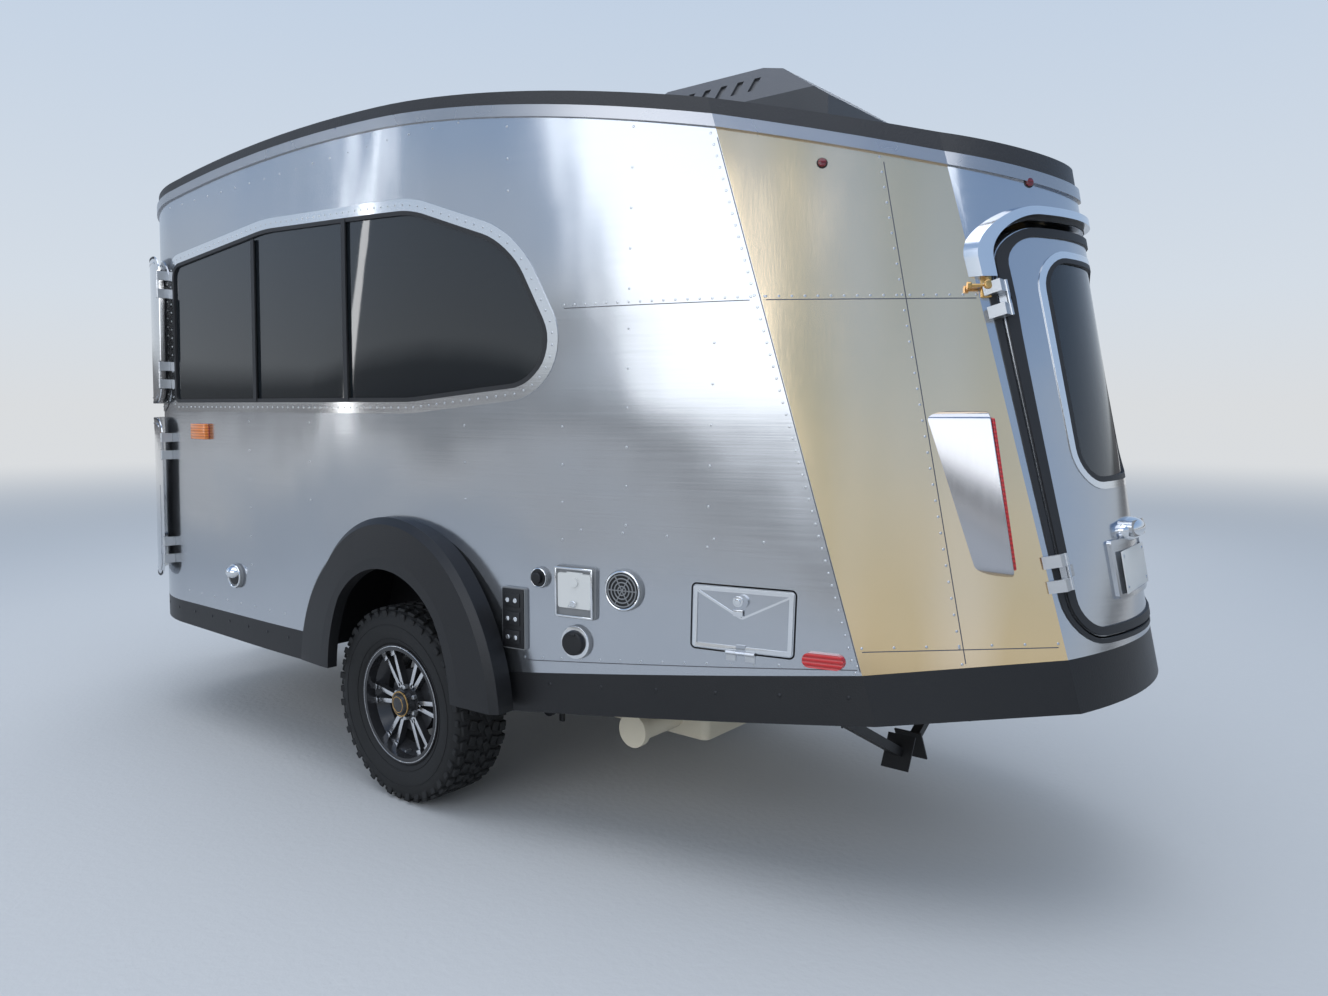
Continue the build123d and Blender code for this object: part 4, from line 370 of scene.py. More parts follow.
def turned(degrees, at=(0, 0)):
    return Matrix.Translation((*at, 0)) @ Matrix.Rotation(radians(degrees), 4, "Z")


street, kerb, rear, front = turned(0), turned(180), turned(90), turned(-90)
corner_street = turned(-45, (-1.375, -0.430))
corner_kerb = turned(-135, (-1.375, 0.430))


def land(view, x, z, on=None):
    """Where a drawn point meets the skin, and which way the skin faces there. Panes lie a little
    deeper than the sheets, so a point over glass is lifted to the level of the sheet."""
    start = view @ Vector((x, -3.0, z))
    way = (view.to_3x3() @ Vector((0, 1, 0))).normalized()
    sheet, pane = (on or shell).ray_cast(start, way), panes.ray_cast(start, way)
    over_pane = pane[0] is not None and (sheet[0] is None or pane[3] < sheet[3])
    spot, facing = (pane if over_pane else sheet)[:2]
    if spot is None:
        return None
    if facing.dot(way) > 0:
        facing = -facing
    return spot + facing * (PANE_DEEP if over_pane else 0), facing


def press(bm, view, lift, on=None):
    """Moves a flat drawing onto the skin, lift above it."""
    lost = []
    for vert in bm.verts:
        found = land(view, vert.co.x, vert.co.z, on)
        if found:
            vert.co = found[0] + found[1] * lift
        else:
            lost.append(vert)
    bmesh.ops.delete(bm, geom=lost, context="VERTS")


def outward(bm, view):
    """Turns every face of a pressed drawing to look back at the viewer."""
    way = view.to_3x3() @ Vector((0, 1, 0))
    bm.normal_update()
    bmesh.ops.reverse_faces(bm, faces=[f for f in bm.faces if f.normal.dot(way) > 0])


def placed(name, data):
    made = bpy.data.objects.new(name, data)
    bpy.context.scene.collection.objects.link(made)
    return made


def piece(name, bm, finish, body=ROOT, thick=0.0, sharp=38):
    """A finished mesh piece that rides on a body; sharp is the angle from which an edge stays crisp."""
    if thick:
        bmesh.ops.solidify(bm, geom=bm.faces[:], thickness=-thick)
    mesh = bpy.data.meshes.new(name)
    bm.to_mesh(mesh)
    bm.free()
    made = placed(name, mesh)
    mesh.materials.append(finish)
    mesh.shade_smooth()
    mesh.set_sharp_from_angle(angle=radians(sharp))
    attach(made, body)
    return made


# %% [markdown]
# ## Rounded outlines
# An outline is a list of corners, each with its radius. It becomes a flat face with sharp corners,
# and bevelling each corner point rounds it: the length that the bevel takes from each side is the
# radius over the tangent of half the corner. Two outlines, one grown a little more than the other,
# are bridged into a band of even width.


# %% Outlines, rings and walks along them
def drawn(bm, corners, grow=0.0, flip=1):
    """Adds a flat convex face whose sides are moved outwards by grow, and rounds its corners."""
    count = len(corners)
    verts, reaches = [], []
    for k, ((x, z), radius) in enumerate(corners):
        here = Vector((x, z))
        back = (Vector(corners[k - 1][0]) - here).normalized()
        ahead = (Vector(corners[(k + 1) % count][0]) - here).normalized()
        half = back.angle(ahead) / 2
        here = here - (back + ahead).normalized() * grow / sin(half)
        verts.append(bm.verts.new((flip * here.x, 0, here.y)))
        reaches.append((radius + grow) / tan(half))
    bm.faces.new(verts)
    before = set(bm.verts) - set(verts)
    for vert, reach in zip(verts, reaches):
        bmesh.ops.bevel(bm, geom=[vert], offset=reach, segments=8, profile=0.5, affect="VERTICES",
                        material=-1)
    return next(f for f in bm.faces if not before.intersection(f.verts))


def ring(corners, gap, width, flip=1, step=0.05):
    """A flat band round an outline, gap outside it, cut fine enough to follow a curve."""
    bm = bmesh.new()
    loops = []
    for grow in (gap, gap + width):
        face = drawn(bm, corners, grow, flip)
        loops += face.edges[:]
        bmesh.ops.delete(bm, geom=[face], context="FACES_ONLY")
    bmesh.ops.bridge_loops(bm, edges=loops)
    for face in bm.faces[:]:
        longest = max(e.calc_length() for e in face.edges)
        sides = [e for e in face.edges if abs(e.calc_length() - longest) < 0.4 * longest]
        if longest > max(step, 1.5 * width) and len(sides) == 2:
            bmesh.ops.subdivide_edges(bm, edges=sides, cuts=ceil(longest / step) - 1, use_grid_fill=True)
    return bm


def pressed_ring(corners, gap, width, view, lift, on=None, flip=1):
    """A band round an outline, laid on the skin and facing the viewer."""
    band = ring(corners, gap, width, flip)
    press(band, view, lift, on)
    outward(band, view)
    return band


def walk(points, pitch, closed=True):
    """Evenly spaced points along a polyline."""
    ends = points + points[:1] if closed else points
    lengths = [(b - a).length for a, b in zip(ends, ends[1:])]
    count = max(1, round(sum(lengths) / pitch))
    steps = [sum(lengths) * k / count for k in range(count if closed else count + 1)]
    found, travelled, k = [], 0.0, 0
    for step in steps:
        while k < len(lengths) - 1 and travelled + lengths[k] < step:
            travelled += lengths[k]
            k += 1
        share = (step - travelled) / max(lengths[k], 1e-9)
        found.append(ends[k].lerp(ends[k + 1], min(1.0, share)))
    return found


def rim_walk(corners, gap, pitch, flip=1):
    """Evenly spaced points round an outline, gap outside it."""
    bm = bmesh.new()
    points = [v.co.copy() for v in drawn(bm, corners, gap, flip).verts]
    bm.free()
    return walk(points, pitch)


# %% [markdown]
# ## Rivets
# The shell is held by thousands of small domed rivets. One low dome is enough shape for each; the
# dome is copied to every place along a seam and turned to face out of the skin there.


# %% The rivet and its copies
def domes(name, spots, body=ROOT, radius=0.0042, rise=0.45, finish=None, sides=8):
    """Low domes at the given (place, facing) pairs."""
    bm = bmesh.new()
    bmesh.ops.create_uvsphere(bm, u_segments=sides, v_segments=4, radius=radius)
    bmesh.ops.bisect_plane(bm, geom=all_of(bm), plane_co=(0, 0, -0.1 * radius), plane_no=(0, 0, 1),
                           clear_inner=True)
    bmesh.ops.scale(bm, vec=(1, 1, rise), verts=bm.verts)
    first = all_of(bm)
    first_verts = bm.verts[:]
    for place, facing in spots:
        copy = bmesh.ops.duplicate(bm, geom=first)
        verts = [g for g in copy["geom"] if isinstance(g, bmesh.types.BMVert)]
        turn = facing.to_track_quat("Z", "Y").to_matrix().to_4x4()
        bmesh.ops.transform(bm, matrix=Matrix.Translation(place) @ turn, verts=verts)
    bmesh.ops.delete(bm, geom=first_verts, context="VERTS")
    return piece(name, bm, finish or rivet_metal, body)


def landed(view, points, on=None):
    found = [land(view, p.x, p.z, on) for p in points]
    return [spot for spot in found if spot]


def row(view, start, end, pitch, on=None):
    """Evenly spaced places on the skin along a straight drawn line."""
    return landed(view, walk([Vector((x, 0, z)) for x, z in (start, end)], pitch, False), on)


# %% [markdown]
# ## Window trims
# Each window sits in a rubber gasket behind a flat polished band with a rivet every 38 mm. The long
# street window is three panes wide, with a black bar over each joint.

# %% Window outlines
street_window = (
    ((-1.385, 1.482), 0.030), ((-1.385, 2.090), 0.060), ((-0.600, 2.165), 0.900), ((0.330, 2.130), 0.400),
    ((0.752, 1.985), 0.280), ((0.930, 1.640), 0.140), ((0.800, 1.530), 0.140), ((0.300, 1.482), 0.900))
kerb_rear_window = (((-0.240, 1.482), 0.060), ((-0.240, 2.150), 0.060)) + street_window[3:]
kerb_front_window = (
    ((-1.385, 1.482), 0.030), ((-1.385, 2.090), 0.060), ((-1.205, 2.110), 0.060), ((-1.205, 1.482), 0.030))


def upright(half_w, foot, top, radius, middle=0.0):
    return (((middle - half_w, foot), radius), ((middle - half_w, top), radius),
            ((middle + half_w, top), radius), ((middle + half_w, foot), radius))


front_window = upright(0.390, 1.482, 2.090, 0.070)
corner_window = upright(0.320, 1.482, 2.090, 0.070)
door_window = upright(0.240, 1.482, 2.120, 0.070, -0.760)
windows = {
    "street": (street_window, street, 1, ROOT, None),
    "kerb_rear": (kerb_rear_window, kerb, -1, ROOT, None),
    "kerb_front": (kerb_front_window, kerb, -1, ROOT, None),
    "front": (front_window, front, 1, ROOT, None),
    "corner_street": (corner_window, corner_street, 1, ROOT, None),
    "corner_kerb": (corner_window, corner_kerb, 1, ROOT, None),
    "door": (door_window, kerb, -1, "entry_door", door_skin),
}

# %% Bands, gaskets and their rivets
BAND = 0.040
for name, (corners, view, flip, body, on) in windows.items():
    band = pressed_ring(corners, 0.003, BAND, view, 0.0005, on, flip)
    piece(f"trim_{name}", band, trim_sheet, body, thick=0.0025)
    gasket = pressed_ring(corners, -0.012, 0.015, view, -0.005, on, flip)
    piece(f"gasket_{name}", gasket, rubber_seal, body, thick=0.009)
    spots = landed(view, rim_walk(corners, BAND / 2 + 0.003, 0.038, flip), on)
    spots = [(place + facing * 0.003, facing) for place, facing in spots]
    domes(f"trim_rivets_{name}", spots, body)
print("window trims:", len(windows))

# %% Bars between the panes
for k, x in enumerate((-0.687, -0.049)):
    bar = bmesh.new()
    bmesh.ops.create_grid(bar, x_segments=1, y_segments=14, size=0.5)
    bmesh.ops.scale(bar, vec=(0.024, 0.655, 1), verts=bar.verts)
    bmesh.ops.rotate(bar, matrix=Matrix.Rotation(pi / 2, 3, "X"), verts=bar.verts)
    bmesh.ops.translate(bar, vec=(x, 0, 1.815 if k else 1.808), verts=bar.verts)
    press(bar, street, 0.001)
    outward(bar, street)
    piece(f"pane_bar_{k}", bar, rubber_seal, thick=0.006)

# %% [markdown]
# ## Laps between the sheets
# Where two sheets meet, one laps over the other along a line of rivets, and the edge of the upper
# sheet throws a thin line of shade. A narrow dark strip pressed onto the skin paints that shade.


# %% Lapped seams
def strip_on(view, start, end, width, lift, on=None):
    """A straight strip pressed onto the skin."""
    (x0, z0), (x1, z1) = start, end
    run = Vector((x1 - x0, 0, z1 - z0))
    strip = bmesh.new()
    bmesh.ops.create_grid(strip, x_segments=max(1, ceil(run.length / 0.05)), y_segments=1, size=0.5)
    bmesh.ops.scale(strip, vec=(run.length, width, 1), verts=strip.verts)
    turn = Matrix.Rotation(-atan2(run.z, run.x), 4, "Y") @ Matrix.Rotation(pi / 2, 4, "X")
    middle = Matrix.Translation(((x0 + x1) / 2, 0, (z0 + z1) / 2))
    bmesh.ops.transform(strip, matrix=middle @ turn, verts=strip.verts)
    press(strip, view, lift, on)
    outward(strip, view)
    return strip


def lap(name, view, start, end, pitch=0.036, shift=0.010):
    """A painted line of shade along a lapped edge between two drawn points, with its row of rivets at shift
    beside it.
    """
    piece(f"lap_{name}", strip_on(view, start, end, 0.0028, 0.0004), seam_shade)
    run = Vector((end[0] - start[0], 0, end[1] - start[1]))
    side = Vector((-run.z, 0, run.x)).normalized() * shift
    points = walk([Vector((start[0], 0, start[1])) + side, Vector((end[0], 0, end[1])) + side], pitch, False)
    domes(f"lap_rivets_{name}", landed(view, points))


BELT_Z = 1.770
wall_views = (("street", street, 1), ("kerb", kerb, -1))
for name, view, flip in wall_views:
    lap(f"belt_{name}", view, (flip * 0.957, BELT_Z), (flip * 1.586, BELT_Z))
    lap(f"crease_{name}", view, (flip * 1.908, 0.730), (flip * 1.366, 2.435), shift=flip * 0.014)
    lap(f"foot_{name}", view, (flip * 0.80, 0.628), (flip * 1.90, 0.735), 0.075)
print("laps along the sides made")

# %% Rows on the quarter panels, seen nearly square on
STREET_TURN, KERB_TURN = 33, 147


def quarter_plan(z, share):
    """Where a quarter panel is in plan, share of the way from the side wall to the tail."""
    low = Vector((2.031, 0.695)).lerp(Vector((2.494, 0.400)), share)
    high = Vector((1.310, 0.723)).lerp(Vector((1.842, 0.345)), share)
    return low.lerp(high, (z - 0.350) / 2.270)


def quarter(z, share, flip=1):
    """The same point as it is drawn flat, in a view that looks nearly square on at the panel."""
    x, y = quarter_plan(z, share)
    angle = radians(STREET_TURN if flip > 0 else KERB_TURN)
    return x * cos(angle) - flip * y * sin(angle), z


def quarter_line(flip, *places):
    return [quarter(z, share, flip) for z, share in places]


for name, view, flip in (("street", turned(STREET_TURN), 1), ("kerb", turned(KERB_TURN), -1)):
    lap(f"quarter_belt_{name}", view, *quarter_line(flip, (BELT_Z, 0.02), (BELT_Z, 0.985)))
    lap(f"quarter_seam_{name}", view, *quarter_line(flip, (0.76, 0.514), (2.36, 0.745)), pitch=0.045)
    lap(f"quarter_foot_{name}", view, *quarter_line(flip, (0.785, 0.03), (0.810, 0.97)), pitch=0.09)

# %% [markdown]
# ## Small fittings
# A fitting is built lying flat, looking up, from blocks, drums and hoops. `seat_at` finds the
# matrix that stands it on the skin. Lamps, latches, sockets and vents all come from these few tools.

# %% Blocks, drums and seats
def seat_at(view, x, z, on=None, lift=0.0):
    """The matrix that stands a flat-built fitting on the skin: its x level, its z outwards."""
    spot, facing = land(view, x, z, on)
    level = Vector((0, 0, 1)).cross(facing).normalized()
    rows = Matrix((level, facing.cross(level), facing)).transposed().to_4x4()
    return Matrix.Translation(spot + facing * lift) @ rows


def block(bm, seat, size, at=(0, 0, 0), edge=0.002, turn=0.0):
    """A box with rounded edges; size and at in metres, turned about its own z."""
    made = bmesh.ops.create_cube(bm, size=1.0)["verts"]
    bmesh.ops.scale(bm, vec=size, verts=made)
    if edge:
        edges = list({e for v in made for e in v.link_edges})
        result = round_edges(bm, edges, min(edge, 0.45 * min(size)), 2)
        made = list({v for f in result["faces"] for v in f.verts} | {v for v in made if v.is_valid})
    bmesh.ops.transform(bm, matrix=seat @ Matrix.Translation(at) @ Matrix.Rotation(turn, 4, "Z"), verts=made)


def drum(bm, seat, radius, depth, at=(0, 0, 0), top=None, sides=28, edge=0.0):
    """A disc, tube end or cone standing on its z axis."""
    made = bmesh.ops.create_cone(bm, cap_ends=True, segments=sides, radius1=radius,
                                 radius2=radius if top is None else top, depth=depth)["verts"]
    if edge:
        upper = [e for e in {e for v in made for e in v.link_edges} if all(v.co.z > 0 for v in e.verts)]
        result = round_edges(bm, upper, edge, 3)
        made = list({v for f in result["faces"] for v in f.verts} | {v for v in made if v.is_valid})
    lifted = Matrix.Translation(at) @ Matrix.Translation((0, 0, depth / 2))
    bmesh.ops.transform(bm, matrix=seat @ lifted, verts=made)


def hoop(bm, seat, radius, thick, at=(0, 0, 0), sides=32, round_sides=8):
    """A round wire bent to a circle."""
    wire = bmesh.ops.create_circle(bm, cap_ends=False, segments=round_sides, radius=thick)["verts"]
    bmesh.ops.rotate(bm, matrix=Matrix.Rotation(pi / 2, 3, "X"), verts=wire)
    bmesh.ops.translate(bm, vec=(radius, 0, 0), verts=wire)
    edges = list({e for v in wire for e in v.link_edges})
    bmesh.ops.spin(bm, geom=wire + edges, axis=(0, 0, 1), cent=(0, 0, 0), steps=sides, angle=2 * pi,
                   use_merge=True)
    fresh = list({v for e in edges if e.is_valid for v in e.verts})
    reached, queue = set(fresh), list(fresh)
    while queue:
        for edge in queue.pop().link_edges:
            for vert in edge.verts:
                if vert not in reached:
                    reached.add(vert)
                    queue.append(vert)
    bmesh.ops.recalc_face_normals(bm, faces=list({f for v in reached for f in v.link_faces}))
    bmesh.ops.transform(bm, matrix=seat @ Matrix.Translation(at), verts=list(reached))


# %% [markdown]
# ## The rear hatch
# A thick black seal runs round the hatch and shows in the gap. The window is framed like the side
# ones. A bright hood carries the plate lamp, and a small brass hook stands on the corner.

# %% Seals and window frame of the hatch
def tapered(foot_w, foot, top_w, top, radius):
    """An outline that narrows to the top; the widths are halves."""
    return (((-foot_w, foot), radius), ((-top_w, top), radius),
            ((top_w, top), radius), ((foot_w, foot), radius))


hatch_outline = tapered(0.352, 0.824, 0.326, 1.974, 0.112)
hatch_hole = tapered(0.358, 0.818, 0.332, 1.996, 0.118)
hatch_window = upright(0.215, 1.250, 1.890, 0.095)
for name, corners, gap, width, lift, thick, finish, body, on in (
        ("hatch_seal", hatch_outline, -0.026, 0.024, -0.002, 0.009, rubber_seal, "hatch", hatch_skin),
        ("hatch_surround_seal", hatch_hole, 0.001, 0.013, -0.002, 0.006, rubber_seal, ROOT, None),
        ("hatch_pane_band", hatch_window, 0.003, 0.020, 0.0005, 0.0025, trim_sheet, "hatch", hatch_skin),
        ("hatch_pane_gasket", hatch_window, -0.012, 0.015, -0.005, 0.009, rubber_seal, "hatch", hatch_skin)):
    piece(name, pressed_ring(corners, gap, width, rear, lift, on), finish, body, thick=thick)

# %% Plate lamp hood, blank plate, latch
hood_seat = seat_at(rear, 0.0, 1.110, hatch_skin, -0.036)
hood = bmesh.new()
bmesh.ops.create_uvsphere(hood, u_segments=32, v_segments=16, radius=1.0, matrix=hood_seat @ Matrix.Diagonal(
    (0.088, 0.036, 0.048, 1.0)))
piece("plate_lamp_hood", hood, trim_sheet, "hatch")

plate = bmesh.new()
plate_seat = seat_at(rear, 0.0, 0.990, hatch_skin, 0.001)
block(plate, plate_seat, (0.262, 0.122, 0.003), edge=0.001)
piece("blank_plate", plate, white_fitting, "hatch")
screws = [plate_seat @ Vector((sx * 0.112, sy * 0.045, 0.0015)) for sx in (-1, 1) for sy in (-1, 1)]
domes("plate_screws", [(place, plate_seat.to_3x3().col[2].normalized()) for place in screws], "hatch", 0.006)

latch = bmesh.new()
latch_seat = seat_at(rear, 0.296, 1.180, hatch_skin)
block(latch, latch_seat, (0.050, 0.120, 0.012), (0, 0, 0.005), 0.004)
block(latch, latch_seat, (0.030, 0.078, 0.016), (0, 0.010, 0.016), 0.006)
drum(latch, latch_seat, 0.009, 0.005, (0, -0.044, 0.011), edge=0.001)
piece("hatch_latch", latch, trim_sheet, "hatch")

# %% Hook on the corner
hook = bmesh.new()
hook_seat = seat_at(rear, -0.352, 1.800)
block(hook, hook_seat, (0.030, 0.060, 0.004), (0, 0, 0.002), 0.001)
drum(hook, hook_seat, 0.007, 0.026, (0, 0, 0.002), sides=16)
drum(hook, hook_seat, 0.013, 0.010, (0, 0, 0.026), sides=20, edge=0.003)
along_arm = hook_seat @ Matrix.Translation((0, 0, 0.018)) @ Matrix.Rotation(pi / 2, 4, "Y")
drum(hook, along_arm, 0.0055, 0.085, (0, 0, -0.050), sides=12)
drum(hook, along_arm, 0.011, 0.012, (0, 0, -0.056), sides=16, edge=0.003)
piece("hold_back_hook", hook, brass.material)

# %% Clearance lamps, and the amber lens at the front
for name, view, spots in (
        ("tail", rear, [(-0.21, 2.105), (0.0, 2.125), (0.21, 2.105)]),
        ("quarter_street", turned(STREET_TURN), [quarter(2.165, 0.441, 1)]),
        ("quarter_kerb", turned(KERB_TURN), [quarter(2.165, 0.441, -1)])):
    lamps = bmesh.new()
    bezels = bmesh.new()
    for x, z in spots:
        seat = seat_at(view, x, z)
        drum(lamps, seat, 0.013, 0.009, sides=20, edge=0.004)
        hoop(bezels, seat, 0.0145, 0.002, sides=20, round_sides=6)
    piece(f"clearance_lamps_{name}", lamps, dark_lens)
    piece(f"clearance_bezels_{name}", bezels, rubber_seal)
for name, view, x in (("street", street, -1.154), ("kerb", kerb, 1.262)):
    amber = bmesh.new()
    block(amber, seat_at(view, x, 1.352, lamp_skin), (0.134, 0.069, 0.018), (0, 0, -0.006), 0.005)
    piece(f"front_marker_{name}", amber, amber_lens)

# %% [markdown]
# ## Lamp pods and flares
# The tail lamps sit in bright wedges that taper to the foot, with soft corners. Six points make the
# wedge, and bevels soften it. The flares end level with the black rocker, so a copy of the solid is
# cut there and its cut is closed.

# %% Pods and their lenses
OUT_X, OUT_Y = 0.557, 0.830


def on_quarter(z, share, side, proud=0.0):
    """A point on a quarter panel in space; side is -1 at the street and 1 at the kerb."""
    x, y = quarter_plan(z, share)
    return Vector((x + OUT_X * proud, side * (y + OUT_Y * proud), z))


POD_FOOT, POD_TOP, POD_DEEP, FOOT_SHARE = 1.000, 1.452, 0.066, 0.72
for name, side in (("street", -1), ("kerb", 1)):
    pod = bmesh.new()
    rim = [(POD_TOP, 0.615), (POD_TOP, 0.895), (POD_FOOT, 0.830), (POD_FOOT, 0.665)]
    low = [pod.verts.new(on_quarter(z, share, side, -0.002)) for z, share in rim]
    high = {k: pod.verts.new(on_quarter(*rim[k], side, POD_DEEP * deep))
            for k, deep in ((1, 1.0), (2, FOOT_SHARE))}
    for face in ((low[0], low[1], high[1]), (low[2], low[3], high[2]), (low[0], high[1], high[2], low[3]),
                 (low[1], low[2], high[2], high[1]), (low[0], low[3], low[2], low[1])):
        pod.faces.new(face)
    bmesh.ops.recalc_face_normals(pod, faces=pod.faces)
    pod.edges.ensure_lookup_table()
    corners = [pod.edges.get(pair) for pair in ((low[0], high[1]), (low[3], high[2]))]
    round_edges(pod, corners, 0.026, 6)
    upper = [e for e in pod.edges if len(e.link_faces) == 2 and e.calc_face_angle() > 0.5
             and max(v.co.x * OUT_X + abs(v.co.y) * OUT_Y for v in e.verts) > 1.0]
    round_edges(pod, upper, 0.0045, 3)
    made = piece(f"lamp_pod_{name}", pod, pod_metal, sharp=30)
    if name == "street":
        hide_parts("tail_pods")
    strip = bmesh.new()
    out = [on_quarter(z, share, side, proud) for z, share, proud in (
        (POD_TOP - 0.020, 0.898, POD_DEEP - 0.012), (POD_TOP - 0.016, 0.898, 0.010),
        (POD_FOOT + 0.016, 0.833, 0.010), (POD_FOOT + 0.020, 0.833, POD_DEEP * FOOT_SHARE - 0.010))]
    face = strip.faces.new([strip.verts.new(p) for p in out])
    strip.normal_update()
    back = Vector((OUT_Y, side * -OUT_X, 0))
    if face.normal.dot(back) < 0:
        face.normal_flip()
    bmesh.ops.solidify(strip, geom=[face], thickness=-0.010)
    round_edges(strip, strip.edges[:], 0.004, 3)
    made = piece(f"tail_lens_{name}", strip, red_lens)
    if name == "street":
        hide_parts("tail_lenses")

# %% Flares that end level with the rocker
FLARE_END_Z = 0.462
for name in ("street", "kerb"):
    flare = bmesh.new()
    flare.from_mesh(nodes[f"flare_{name}"].data)
    bmesh.ops.remove_doubles(flare, verts=flare.verts, dist=1e-5)
    bmesh.ops.dissolve_limit(flare, angle_limit=0.01, verts=flare.verts, edges=flare.edges)
    bmesh.ops.holes_fill(flare, edges=cut_off(flare, (0, 0, FLARE_END_Z), (0, 0, -1)))
    bmesh.ops.recalc_face_normals(flare, faces=flare.faces)
    made = piece(f"arch_flare_{name}", flare, black_moulding, sharp=24)
    round_off = made.modifiers.new("edge", "BEVEL")
    round_off.width, round_off.segments = 0.004, 3
    round_off.limit_method, round_off.angle_limit = "ANGLE", 0.4
    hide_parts(f"flare_{name}")
print("pods and flares made")

# %% [markdown]
# ## Wheels
# An off-road tyre is a smooth carcass with rows of rubber blocks. The carcass is one profile spun
# round the axle. Each block is built once and stamped round the tread, turned a little from row to
# row so that the rows interlock. The alloy wheel is black with bright machined faces on its spokes.


# %% Spinning and stamping
def spun(bm, seat, profile, steps=72):
    """A closed profile of (radius, height) points spun round the seat's z axis."""
    wire = [bm.verts.new((r, 0, z)) for r, z in profile]
    edges = [bm.edges.new((wire[k - 1], wire[k])) for k in range(len(wire))]
    before = set(bm.faces)
    bmesh.ops.spin(bm, geom=wire + edges, axis=(0, 0, 1), cent=(0, 0, 0), steps=steps, angle=2 * pi,
                   use_merge=True)
    fresh = [f for f in bm.faces if f not in before]
    bmesh.ops.recalc_face_normals(bm, faces=fresh)
    bmesh.ops.transform(bm, matrix=seat, verts=list({v for f in fresh for v in f.verts}))


def stamped(bm, size, edge, matrices):
    """Copies of one rounded box."""
    once = bmesh.new()
    made = bmesh.ops.create_cube(once, size=1.0)["verts"]
    bmesh.ops.scale(once, vec=size, verts=made)
    round_edges(once, once.edges[:], edge, 1)
    template = bpy.data.meshes.new("stamp")
    once.to_mesh(template)
    once.free()
    for matrix in matrices:
        count = len(bm.verts)
        bm.from_mesh(template)
        bm.verts.ensure_lookup_table()
        bmesh.ops.transform(bm, matrix=matrix, verts=bm.verts[count:])
    bpy.data.meshes.remove(template)


def round_the_tread(seat, radius, height, count, turn=0.0, shift=0.0, lean=0.0):
    """Places for blocks whose x points out of the tread, along y round it and along z across it."""
    for k in range(count):
        angle = 2 * pi * (k + shift) / count
        yield (seat @ Matrix.Rotation(angle, 4, "Z") @ Matrix.Translation((radius, 0, height))
               @ Matrix.Rotation(turn, 4, "X") @ Matrix.Rotation(lean, 4, "Y"))


# %% Tyres
TYRE_R, AXLE, WHEEL_Y = 0.366, 0.175, 0.8725
carcass = [(0.210, 0.092), (0.226, 0.093), (0.236, 0.104), (0.262, 0.1125), (0.291, 0.1165), (0.318, 0.1145),
           (0.342, 0.107), (0.352, 0.096), (0.3555, 0.060), (0.3565, 0.0)]
carcass += [(r, -z) for r, z in carcass[-2::-1]]
wheel_seats = {
    "street": Matrix(((1, 0, 0, AXLE), (0, 0, -1, -WHEEL_Y), (0, 1, 0, TYRE_R), (0, 0, 0, 1))),
    "kerb": Matrix(((-1, 0, 0, AXLE), (0, 0, 1, WHEEL_Y), (0, 1, 0, TYRE_R), (0, 0, 0, 1))),
}
PITCHES = 40
for side, seat in wheel_seats.items():
    tyre = bmesh.new()
    spun(tyre, seat, carcass)
    deep = 0.0125
    for height, size, turn, shift in (
            (-0.0175, (deep, 0.040, 0.025), 0.45, 0.0), (0.0175, (deep, 0.040, 0.025), 0.45, 0.5),
            (-0.0520, (deep, 0.034, 0.027), -0.30, 0.2), (0.0520, (deep, 0.034, 0.027), -0.30, 0.7),
            (-0.0870, (deep, 0.036, 0.026), 0.10, 0.0), (0.0870, (deep, 0.036, 0.026), 0.10, 0.5)):
        lean = 0.10 * (height > 0.08) - 0.10 * (height < -0.08)
        radius = TYRE_R - deep / 2 - (0.0022 if lean else 0.0)
        stamped(tyre, size, 0.0022, round_the_tread(seat, radius, height, PITCHES, turn, shift, lean))
    for height in (-1, 1):
        for size, radius, wide, start in (((0.036, 0.026, 0.009), 0.336, 0.1095, 0.0),
                                          ((0.022, 0.024, 0.009), 0.341, 0.1085, 0.5)):
            shift = start + 0.25 * (1 + height)
            lugs = round_the_tread(seat, radius, height * wide, PITCHES // 2, 0.0, shift, -0.20 * height)
            stamped(tyre, size, 0.0025, lugs)
    for radius, height in ((0.300, 0.1165), (0.246, 0.1085)):
        hoop(tyre, seat, radius, 0.0014, (0, 0, height), 72, 6)
    made = piece(f"tread_{side}", tyre, tyre_rubber, f"wheel_{side}")
    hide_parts(f"tyre_{side}")
print("tyre faces:", len(made.data.polygons))

